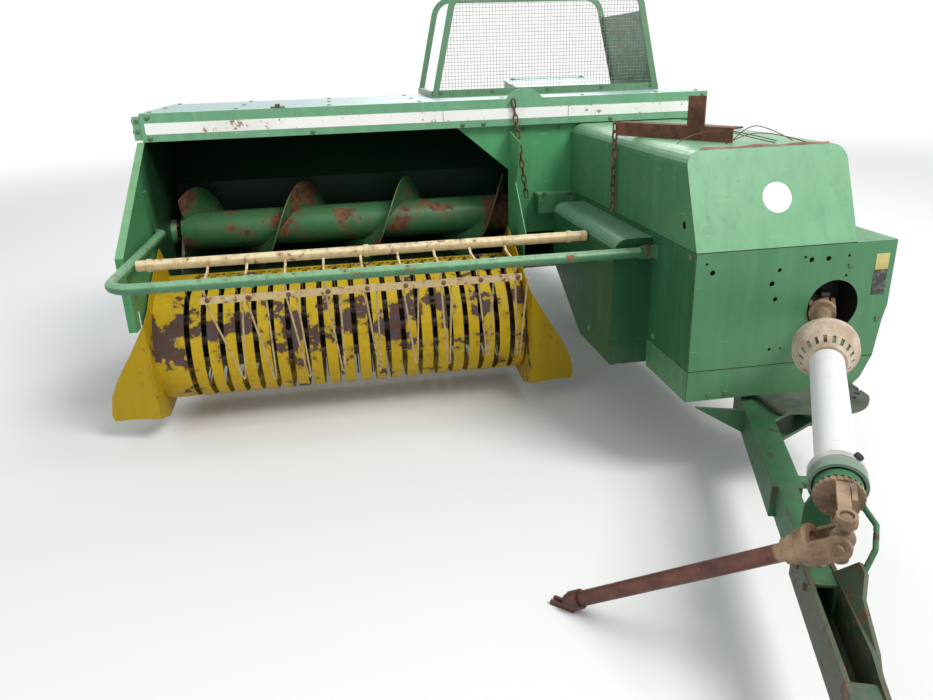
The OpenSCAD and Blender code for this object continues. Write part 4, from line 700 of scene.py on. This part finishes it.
bolts_at(hex_head, "wall_bolts",
         [(spot(x, WALL_Y, z), FRONT) for x, z in (
             (-282, 900), (-282, 780), (-282, 660), (-230, 1118), (-60, 1118), (12, 700), (12, 600))]
         + [(spot(END_WALL_X, y, z), PICKUP_SIDE) for y, z in (
             (1400, 1200), (1700, 1200), (2050, 1150), (1780, 700), (1420, 520), (1000, 520),
             (1300, 1040), (820, 560), (1000, 640), (1180, 900))]
         + [(spot(x, BRACKET_Y, 832), UP) for x in (-150, -30)]
         + [(spot(x, BRACKET_Y, 790), FRONT) for x in (-160, -16)],
         bolt_paint, "main")

# ------------------------ pickup
# Bent strip bands and end sheets in yellow, rubbed through to slate and rust where the crop
# slides up; the tined reel turns behind them in front of a closing sheet painted near-black as
# painted shade in the gaps.
band_yellow = weathered_paint(
    "band_yellow", (0.5, 0.33, 0.008), (0.52, 0.37, 0.025), (0.075, 0.06, 0.07), (0.1, 0.045, 0.02),
    chips=0.6, patches=0.25, patch_size=0.1, rub=(0.42, 0.16, 0.17), bleach_and_sky_light=0.5, runs=0.1, mud=0.1,
    sheen=0.15)
wing_yellow = weathered_paint(
    "wing_yellow", (0.4, 0.26, 0.006), (0.45, 0.31, 0.02), (0.07, 0.05, 0.05), (0.1, 0.045, 0.02),
    chips=0.5, patches=0.12, patch_size=0.1, mud=0.06, bleach_and_sky_light=0.5, runs=0.15, sheen=0.12)
coat_nodes(band_yellow, "pickup_bands")
coat_nodes(wing_yellow, "pickup_ends")
# The closing sheet is painted near-black, with faint grime: painted shade seen through the gaps between the
# bands.
inside = Finish("closing_sheet_shade")
inside_grime = inside.cloud(inside.place(), 9.0, 7.0, 0.65)
inside_scale = inside.cloud(inside.place(), 60.0, 5.0, 0.65)
closing_shade_tone = inside.blend(inside_grime.rise(0.4, 0.65), (0.005, 0.012, 0.006), (0.018, 0.014, 0.009))
closing_shade_tone = inside.blend(inside_scale.rise(0.62, 0.72) * 0.6, closing_shade_tone, (0.04, 0.02, 0.012))
inside.set(Base_Color=closing_shade_tone, Roughness=inside_grime.rise(0.3, 0.7, 0.75, 0.95),
           Specular_IOR_Level=0.2)
coat_nodes(inside.material, "pickup_back")
tine_steel = rusty_metal(
    "tine_steel", (0.07, 0.05, 0.04), (0.2, 0.15, 0.12), (0.4, 0.36, 0.32), gloss=0.5, shine=0.7)
coat_nodes(tine_steel, "tine_reel")

BAND_X0, BAND_PITCH, BAND_COUNT = -1744.0, 66.7, 21
band_bolt = round_bolt(0.0085, 0.004)
bolts_at(band_bolt, "band_bolts",
         [(spot(BAND_X0 + BAND_PITCH * (i + 0.5) + side, 1262, 562), UP)
          for i in range(BAND_COUNT) for side in (-12, 12)],
         tine_steel, "pickup")
END_SHEETS = ((-1880, PICKUP_SIDE), (-339.3, CASE_SIDE))
END_BOLTS = ((790, 480), (900, 540), (1040, 600), (800, 180), (960, 100), (1290, 260))
bolts_at(band_bolt, "pickup_end_bolts",
         [(spot(x, y, z), outward) for x, outward in END_SHEETS for y, z in END_BOLTS],
         tine_steel, "pickup")

# ------------------------ windguard and guard rail
# Cream pipe, rods and hairpins with rust spots; each rod is bolted through the flat bar.
# The green rail has a welded collar where its bent end is joined.
cream = weathered_paint(
    "cream", (0.46, 0.35, 0.17), (0.74, 0.62, 0.4), (0.2, 0.11, 0.06), (0.2, 0.085, 0.035),
    chips=1.05, edge=0.002)
coat_nodes(cream, "windguard_pipe", "windguard_rods")
rail_green = weathered_paint(
    "rail_green", (0.045, 0.16, 0.075), (0.22, 0.42, 0.24), (0.16, 0.07, 0.035), (0.22, 0.08, 0.03),
    chips=0.75, patches=0.12, patch_size=0.05, bleach_and_sky_light=0.7)
coat_nodes(rail_green, "guard_rail")
ROD_X0, ROD_PITCH, ROD_COUNT = -1601, 145.6, 9
bar_bolt = round_bolt(0.0095, 0.005)
bolts_at(bar_bolt, "windguard_bolts",
         [(spot(ROD_X0 + ROD_PITCH * i, 600, 634), FRONT) for i in range(ROD_COUNT)],
         bar_rust, "windguard")


def collar_on(name, middle, radius, length, material, body):
    """A welded ring round a pipe that runs along X, with its edges rounded."""
    drop_selection()
    bpy.ops.mesh.primitive_cylinder_add(
        vertices=32, radius=radius, depth=length, location=middle, rotation=(0.0, math.pi / 2, 0.0))
    bpy.ops.object.mode_set(mode="EDIT")
    pick(lambda centre, normal: abs(normal.z) > 0.9)
    bpy.ops.mesh.bevel(offset=length * 0.2, segments=2)
    bpy.ops.object.mode_set(mode="OBJECT")
    bpy.ops.object.shade_smooth_by_angle(angle=math.radians(40))
    return keep(bpy.context.object, name, material, body)


for number, x in enumerate((-1790, -1010, -220)):
    collar_on(f"windguard_collar_{number}", spot(x, 650, 768), 0.0235, 0.022,
              cream, "windguard")
collar_on("rail_collar", spot(-1400, 318, 770), 0.0215, 0.018, rail_green, "main")
bolts_at(hex_head, "rail_bolts",
         [(spot(-32, 313, z), FRONT) for z in (758, 782)], bar_rust, "main")

# ------------------------ knotter guard and knotters
# Two hoops of flat bar carry a galvanised woven screen of 16 mm pitch. Under it are the cast
# knotter frames, greasy and dark, on their shaft.
hoop_green = weathered_paint(
    "hoop_green", (0.1, 0.22, 0.12), (0.28, 0.43, 0.28), BARE_STEEL, RUST, chips=0.6, bleach_and_sky_light=0.8)
coat_nodes(hoop_green, "guard_hoops", "guard_sheet")
screen_steel = Finish("screen_steel")
screen_grain = screen_steel.cloud(screen_steel.place(), 30.0, 5.0)
screen_steel.set(
    Base_Color=screen_steel.blend(screen_grain.rise(0.4, 0.7), (0.34, 0.35, 0.33), (0.2, 0.15, 0.11)),
    Roughness=0.55, Metallic=0.6)
coat_nodes(screen_steel.material, "guard_mesh")

SCREEN_PITCH, SCREEN_R = 0.016, 0.0009
SCREEN_FOOT = spot(-20, 1709, 1259)
SCREEN_HALF, SCREEN_LEAN, SCREEN_HEAD, CORNER_R, CORNER_AT = 0.575, 0.092, 0.482, 0.102, 0.380
SCREEN_LOW, WEAVE = 0.031, 0.0014


def screen_half_width(height):
    """Half the hoop's inner width at a height: leaning posts, then a round corner."""
    if height <= CORNER_AT:
        return SCREEN_HALF - SCREEN_LEAN * height / CORNER_AT
    round_part = math.sqrt(max(0.0, CORNER_R ** 2 - (height - CORNER_AT) ** 2))
    return SCREEN_HALF - SCREEN_LEAN - CORNER_R + round_part


def screen_height(across):
    """The hoop's inner height at a distance from its middle."""
    flat = SCREEN_HALF - SCREEN_LEAN - CORNER_R
    if across <= flat:
        return SCREEN_HEAD
    if across <= SCREEN_HALF - SCREEN_LEAN:
        return CORNER_AT + math.sqrt(max(0.0, CORNER_R ** 2 - (across - flat) ** 2))
    return (SCREEN_HALF - across) * CORNER_AT / SCREEN_LEAN


drop_selection()
bpy.ops.mesh.primitive_cylinder_add(vertices=6, radius=1.0, depth=1.0)
screen_wire = bpy.context.object
strands = []


def strand(start, end):
    """A copy of the wire between two places over the screen's foot."""
    start, end = SCREEN_FOOT + Vector(start), SCREEN_FOOT + Vector(end)
    copy = screen_wire.copy()
    copy.data = screen_wire.data.copy()
    bpy.context.scene.collection.objects.link(copy)
    size = Matrix.Diagonal((SCREEN_R, SCREEN_R, (end - start).length, 1.0))
    copy.data.transform(facing((start + end) / 2, end - start) @ size)
    strands.append(copy)


steps = int(SCREEN_HALF / SCREEN_PITCH)
for step in range(-steps, steps + 1):
    across = step * SCREEN_PITCH
    top = screen_height(abs(across))
    if top > 0.05:
        strand((across, 0.0, SCREEN_LOW), (across, 0.0, top))
for step in range(2, int(SCREEN_HEAD / SCREEN_PITCH) + 1):
    height = step * SCREEN_PITCH
    half = screen_half_width(height)
    strand((-half, WEAVE, height), (half, WEAVE, height))
screen = keep(joined(*strands), "knotter_screen", screen_steel.material, "main")
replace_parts(screen, "guard_mesh")
bolts_at(hex_head, "guard_bolts",
         [(spot(x, 1700, 1276), FRONT) for x in (-560, -300, -20, 260, 520)],
         bolt_paint, "main")

greasy_iron = rusty_metal(
    "greasy_iron", (0.03, 0.025, 0.022), (0.1, 0.075, 0.055), (0.26, 0.2, 0.15), gloss=0.5, shine=0.6)
coat_nodes(greasy_iron, "knotter_frames", "knotter_shaft")
lid_green = weathered_paint(
    "lid_green", (0.11, 0.27, 0.19), (0.26, 0.44, 0.4), BARE_STEEL, RUST, chips=0.4, bleach_and_sky_light=0.9)
coat_nodes(lid_green, "twine_lid", "twine_box")
BOX_X, BOX_Y = 12, 2366
bolts_at(round_head, "twine_box_bolts",
         [(spot(x, BOX_Y, z), FRONT) for x in (40, 300, 556) for z in (1010, 1180)]
         + [(spot(BOX_X, y, z), PICKUP_SIDE) for y in (2400, 2620, 2830) for z in (1010, 1200)],
         bolt_paint, "main")

# ------------------------ bale case and frame
# Welded plate and rolled channel, painted green and dusty below, with yellow on the needle yoke
# and the metering wheel. The plunger is greasy, and the tension screws are bare and brown.
case_green = weathered_paint(
    "case_green", (0.06, 0.21, 0.095), (0.22, 0.41, 0.24), BARE_STEEL, RUST, chips=0.6, patches=0.15, mud=0.6)
coat_nodes(case_green, "bale_case", "tension_rails")
frame_green = weathered_paint(
    "frame_green", (0.045, 0.15, 0.07), (0.17, 0.32, 0.18), (0.13, 0.1, 0.08), RUST, chips=0.8, mud=0.9)
coat_nodes(frame_green, "main_frame", "axle_beam")
yoke_yellow = weathered_paint(
    "yoke_yellow", (0.5, 0.32, 0.02), (0.56, 0.42, 0.12), (0.12, 0.09, 0.08), RUST, chips=0.9, patches=0.25)
coat_nodes(yoke_yellow, "needle_yoke", "metering_wheel")
coat_nodes(greasy_iron, "plunger")
coat_nodes(bar_rust, "tension_screws")
CASE_SIDES = ((40, PICKUP_SIDE), (516, CASE_SIDE))
bolts_at(hex_head, "case_bolts",
         [(spot(x, y, z), outward) for x, outward in CASE_SIDES
          for y in (1500, 2060, 2330, 2700) for z in (572, 872)],
         bolt_paint, "main")

# ------------------------ tongue, hitch and jack
# A welded box tube with a plate hitch, green paint scoured by dirt and the drawbar; the swing
# plate above its pivot is bare and pale. Weld beads run along the joints.
tongue_green = weathered_paint(
    "tongue_green", (0.016, 0.1, 0.038), (0.06, 0.2, 0.1), (0.065, 0.045, 0.04), (0.12, 0.05, 0.028),
    chips=0.7, mud=0.22, patches=0.07, patch_size=0.05, bleach_and_sky_light=0.6, edge=0.006, sheen=0.25)
coat_nodes(tongue_green, "tongue_beam", "shaft_support", "jack_sleeve")
coat_nodes(greasy_iron, "jack_leg")
hitch_green = weathered_paint(
    "hitch_green", (0.014, 0.05, 0.024), (0.055, 0.13, 0.08), (0.05, 0.042, 0.034), (0.15, 0.05, 0.025),
    chips=1.0, mud=0.5, patches=0.22, patch_size=0.05, bleach_and_sky_light=0.6, edge=0.007, sheen=0.3)
coat_nodes(hitch_green, "hitch_channel")
plate_pale = rusty_metal(
    "plate_pale", (0.045, 0.055, 0.04), (0.1, 0.12, 0.09), (0.2, 0.2, 0.17), gloss=0.65, shine=0.2)
coat_nodes(plate_pale, "swing_plate")

PIVOT, TONGUE_TURN = spot(485, 40, 0), Matrix.Rotation(-math.radians(20.2), 4, "Z")


def on_tongue(x, y, z):
    """A place in millimetres in the tongue's own frame, whose Y runs from the hitch to the rear."""
    return PIVOT + 0.001 * (TONGUE_TURN @ Vector((x, y, z)))


ACROSS = TONGUE_TURN @ Vector((1.0, 0.0, 0.0))
HITCH_LEFT, HITCH_RIGHT, HITCH_TOP, SPLICE_ROWS = -239, -167, 296, (-1000, -1080)
bolts_at(hex_head, "hitch_bolts",
         [(on_tongue(HITCH_LEFT, y, 262), -ACROSS) for y in SPLICE_ROWS]
         + [(on_tongue(HITCH_RIGHT, y, 240), ACROSS) for y in SPLICE_ROWS]
         + [(on_tongue(-203, y, HITCH_TOP), UP) for y in (-1480, -1530)],
         bar_rust, "tongue")
weld_grey = rusty_metal("weld_bead", (0.05, 0.07, 0.045), (0.13, 0.14, 0.09), (0.25, 0.2, 0.14))


def weld_bead(name, start, end, bumps=26, radius=0.0035):
    """A run of weld on the tongue: a thin bar whose rings swell one after the other."""
    drop_selection()
    start, end = on_tongue(*start), on_tongue(*end)
    middle, way = (start + end) / 2, end - start
    bpy.ops.mesh.primitive_cylinder_add(vertices=8, radius=radius, depth=way.length)
    bead = bpy.context.object
    bpy.ops.object.mode_set(mode="EDIT")
    for step in range(1, bumps):
        bpy.ops.mesh.select_all(action="SELECT")
        height = way.length * (step / bumps - 0.5)
        bpy.ops.mesh.bisect(plane_co=(0.0, 0.0, height), plane_no=(0.0, 0.0, 1.0))
    bpy.ops.object.mode_set(mode="OBJECT")
    for corner in bead.data.vertices:
        swell = 1.0 + BEAD_SWELL * math.sin(corner.co.z / way.length * bumps * math.pi)
        corner.co.x *= swell
        corner.co.y *= swell
    bead.data.transform(facing(middle, way))
    bpy.ops.object.shade_smooth()
    keep(bead, name, weld_grey, "tongue")


BEAD_SWELL = 0.22
weld_bead("neck_weld_near", (-162, -680, 297), (-244, -680, 297))
weld_bead("hitch_weld_left", (HITCH_LEFT, -1060, 299), (HITCH_LEFT, -1112, 299))
weld_bead("gusset_weld", (-244, -191, 298), (-400, -191, 298))

# The jack's crank: a bent round bar with a grip, on top of the sleeve.
CRANK_R = 0.006
CRANK = ((-131, -1545, 338), (-131, -1545, 352), (-131, -1545, 358),
         (-110, -1560, 362), (-80, -1576, 362), (-74, -1580, 330))
bent_wire("jack_crank", [on_tongue(*place) for place in CRANK], CRANK_R, bar_rust, "tongue")

# ------------------------ drive line
# The telescopic shaft runs in a white plastic tube with a yellowed slotted cone. Its wide angle
# joint is a rough casting, and the loose half shaft hangs on the cross, brown and scaled.
SHAFT_START, JOINT_AT = on_tongue(0, 0, 620), on_tongue(-200, -1152, 452.5)
SHAFT_WAY = (JOINT_AT - SHAFT_START).normalized()
tube_white = Finish("tube_white")
tube_place = tube_white.place()
to_joint = tube_white.away(tube_place, JOINT_AT)
tube_stain = tube_white.cloud(tube_place, 7.0, 6.0, 0.6)
tube_speck = tube_white.cloud(tube_place, 90.0, 5.0, 0.65)
tube_tone = tube_white.blend(tube_stain.rise(0.5, 0.8) * 0.5, (0.66, 0.66, 0.67), (0.5, 0.47, 0.41))
tube_tone = tube_white.blend(tube_speck.rise(0.63, 0.75) * 0.6, tube_tone, (0.34, 0.27, 0.19))
# The collar at the joint is soiled, and its bearing ring is pale worn green.
soiled = to_joint.rise(0.255, 0.235) * (tube_stain.rise(0.3, 0.7) * 0.5 + 0.15)
tube_tone = tube_white.blend(soiled, tube_tone, (0.2, 0.19, 0.16))
tube_tone = tube_white.blend(to_joint.rise(0.218, 0.214), tube_tone, (0.15, 0.22, 0.16))
tube_white.set(Base_Color=tube_tone, Roughness=tube_stain.rise(0.3, 0.7, 0.32, 0.55))
tube_white.bump(tube_speck, 0.15, 0.001)
coat_nodes(tube_white.material, "shield_tube")
cone_plastic = Finish("cone_plastic")
cone_stain = cone_plastic.cloud(cone_plastic.place(), 16.0, 6.0, 0.62)
cone_grit = cone_plastic.cloud(cone_plastic.place(), 110.0, 5.0)
cone_tone = cone_plastic.blend(cone_stain.rise(0.36, 0.66), (0.5, 0.42, 0.33), (0.33, 0.24, 0.16))
cone_tone = cone_plastic.blend(cone_grit.rise(0.62, 0.74) * 0.7, cone_tone, (0.2, 0.13, 0.08))
cone_plastic.set(Base_Color=cone_tone, Roughness=cone_stain.rise(0.3, 0.7, 0.45, 0.65))
cone_plastic.bump(cone_grit, 0.2, 0.001)
coat_nodes(cone_plastic.material, "shield_cone")
joint_cast = rusty_metal(
    "joint_cast", (0.13, 0.085, 0.052), (0.36, 0.25, 0.155), (0.5, 0.42, 0.31),
    flakes=0.6, gloss=0.7, shine=0.25)
coat_nodes(joint_cast, "wide_joint", "drive_yoke")
half_brown = rusty_metal(
    "half_brown", (0.06, 0.024, 0.022), (0.15, 0.06, 0.042), (0.33, 0.15, 0.065),
    flakes=0.5, gloss=0.4, shine=0.45, cast=(JOINT_AT, 0.155, (0.17, 0.105, 0.062), (0.4, 0.27, 0.16)))
coat_nodes(half_brown, "half_shaft")
flywheel_rust = rusty_metal("flywheel_rust", (0.09, 0.04, 0.02), (0.22, 0.1, 0.05))
coat_nodes(flywheel_rust, "flywheel")
coat_nodes(greasy_iron, "gearbox")

# A black plug with a hollow face sits on the collar, to the case side of its top.
PLUG_AT, PLUG_R, PLUG_T, COLLAR_R = 0.956, 0.011, 0.012, 0.0675
SIDEWAYS = SHAFT_WAY.cross(-Vector(UP)).normalized()
PLUG_OUT = (SIDEWAYS * 0.55 + SHAFT_WAY.cross(SIDEWAYS) * 0.83).normalized()
clip_black = Finish("clip_black").set(Base_Color=(0.02, 0.02, 0.02), Roughness=0.5).material
drop_selection()
bpy.ops.mesh.primitive_cylinder_add(vertices=24, radius=PLUG_R, depth=PLUG_T)
bpy.ops.object.mode_set(mode="EDIT")
pick(lambda middle, normal: normal.z > 0.9)
bpy.ops.mesh.inset(thickness=0.003)
bpy.ops.transform.translate(value=(0.0, 0.0, -0.004))
bpy.ops.object.mode_set(mode="OBJECT")
plug = bpy.context.object
plug.data.transform(facing(SHAFT_START + SHAFT_WAY * PLUG_AT + PLUG_OUT * COLLAR_R, PLUG_OUT))
keep(plug, "collar_clip", clip_black, "tongue")

# ------------------------ wheels
# Ribbed implement tyres, worn and dusty, on pressed yellow rims held by studs and nuts.
rubber = Finish("tyre_rubber")
grit = rubber.cloud(rubber.place(), 60.0, 6.0, 0.65)
patch = rubber.cloud(rubber.place(), 5.0, 4.0)
dust = (grit.rise(0.35, 0.7) * 0.5 + patch.rise(0.4, 0.7) * 0.4).clip()
rubber.set(Base_Color=rubber.blend(dust, (0.018, 0.018, 0.018), (0.12, 0.105, 0.08)),
           Roughness=grit.rise(0.2, 0.8, 0.7, 0.95))
rubber.bump(grit, 0.3, 0.002)
coat_nodes(rubber.material, "left_tyre", "right_tyre")
rim_yellow = weathered_paint(
    "rim_yellow", (0.52, 0.34, 0.02), (0.58, 0.43, 0.1), (0.13, 0.08, 0.05), RUST, chips=0.8, mud=0.6)
coat_nodes(rim_yellow, "left_rim", "right_rim")
TYRE_TURNS, TREAD_SHARE, RIB_GROOVES, GROOVE_DEPTH = 96, 0.58, 5, 11.0


def ribbed_tyre(name, node, centre, outer, rim, width, body):
    """Half a tyre's section is laid out, given its grooves and spun round the axle."""
    half, bulge = width / 2, (rim + outer) / 2
    # radius in millimetres, share of half the width
    side = [(rim, 0.72), (rim + 14, 0.86), (bulge - 26, 0.965), (bulge - 20, 0.985), (bulge, 1.0),
            (outer - 46, 0.97), (outer - 12, 0.80), (outer, TREAD_SHARE)]
    section = [(radius, -half * share) for radius, share in side]
    tread = TREAD_SHARE * width
    for number in range(RIB_GROOVES):
        middle = -tread / 2 + tread * (number + 0.5) / RIB_GROOVES
        section += [(outer, middle - 0.018 * width), (outer - GROOVE_DEPTH, middle - 0.01 * width),
                    (outer - GROOVE_DEPTH, middle + 0.01 * width), (outer, middle + 0.018 * width)]
    section += [(radius, half * share) for radius, share in reversed(side)]
    drop_selection()
    bpy.ops.mesh.primitive_circle_add(vertices=len(section))
    tyre = bpy.context.object
    for corner, (radius, across) in zip(tyre.data.vertices, section):
        corner.co = centre + Vector((across, 0.0, radius)) * 0.001
    bpy.ops.object.mode_set(mode="EDIT")
    bpy.ops.mesh.select_all(action="SELECT")
    bpy.ops.mesh.spin(steps=TYRE_TURNS, angle=2 * math.pi, center=centre, axis=CASE_SIDE)
    bpy.ops.mesh.select_all(action="SELECT")
    bpy.ops.mesh.remove_doubles(threshold=0.0002)
    bpy.ops.mesh.normals_make_consistent(inside=False)
    bpy.ops.object.mode_set(mode="OBJECT")
    bpy.ops.object.shade_smooth_by_angle(angle=math.radians(35))
    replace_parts(keep(tyre, name, rubber.material, body), node)


LEFT_HUB, RIGHT_HUB = spot(732, 1950, 380), spot(-1997, 1950, 335)
ribbed_tyre("left_ribbed_tyre", "left_tyre", LEFT_HUB, 380, 178, 264, "left_wheel")
ribbed_tyre("right_ribbed_tyre", "right_tyre", RIGHT_HUB, 335, 190, 184, "right_wheel")
wheel_nut = hex_bolt(0.024, 0.012, 0.016)
NUTS_OUT, NUTS_R = 0.038, 0.074
for name, hub, outward in (("left", LEFT_HUB, CASE_SIDE), ("right", RIGHT_HUB, PICKUP_SIDE)):
    ring = [hub + Vector((NUTS_OUT * outward[0], NUTS_R * math.cos(turn), NUTS_R * math.sin(turn)))
            for turn in (math.radians(30 + 60 * step) for step in range(6))]
    bolts_at(wheel_nut, f"{name}_wheel_nuts", [(place, outward) for place in ring],
             bar_rust, f"{name}_wheel")

# The masters of the copied pieces have done their work.
for master in (hex_head, round_head, band_bolt, bar_bolt, wheel_nut, screen_wire):
    bpy.data.objects.remove(master)
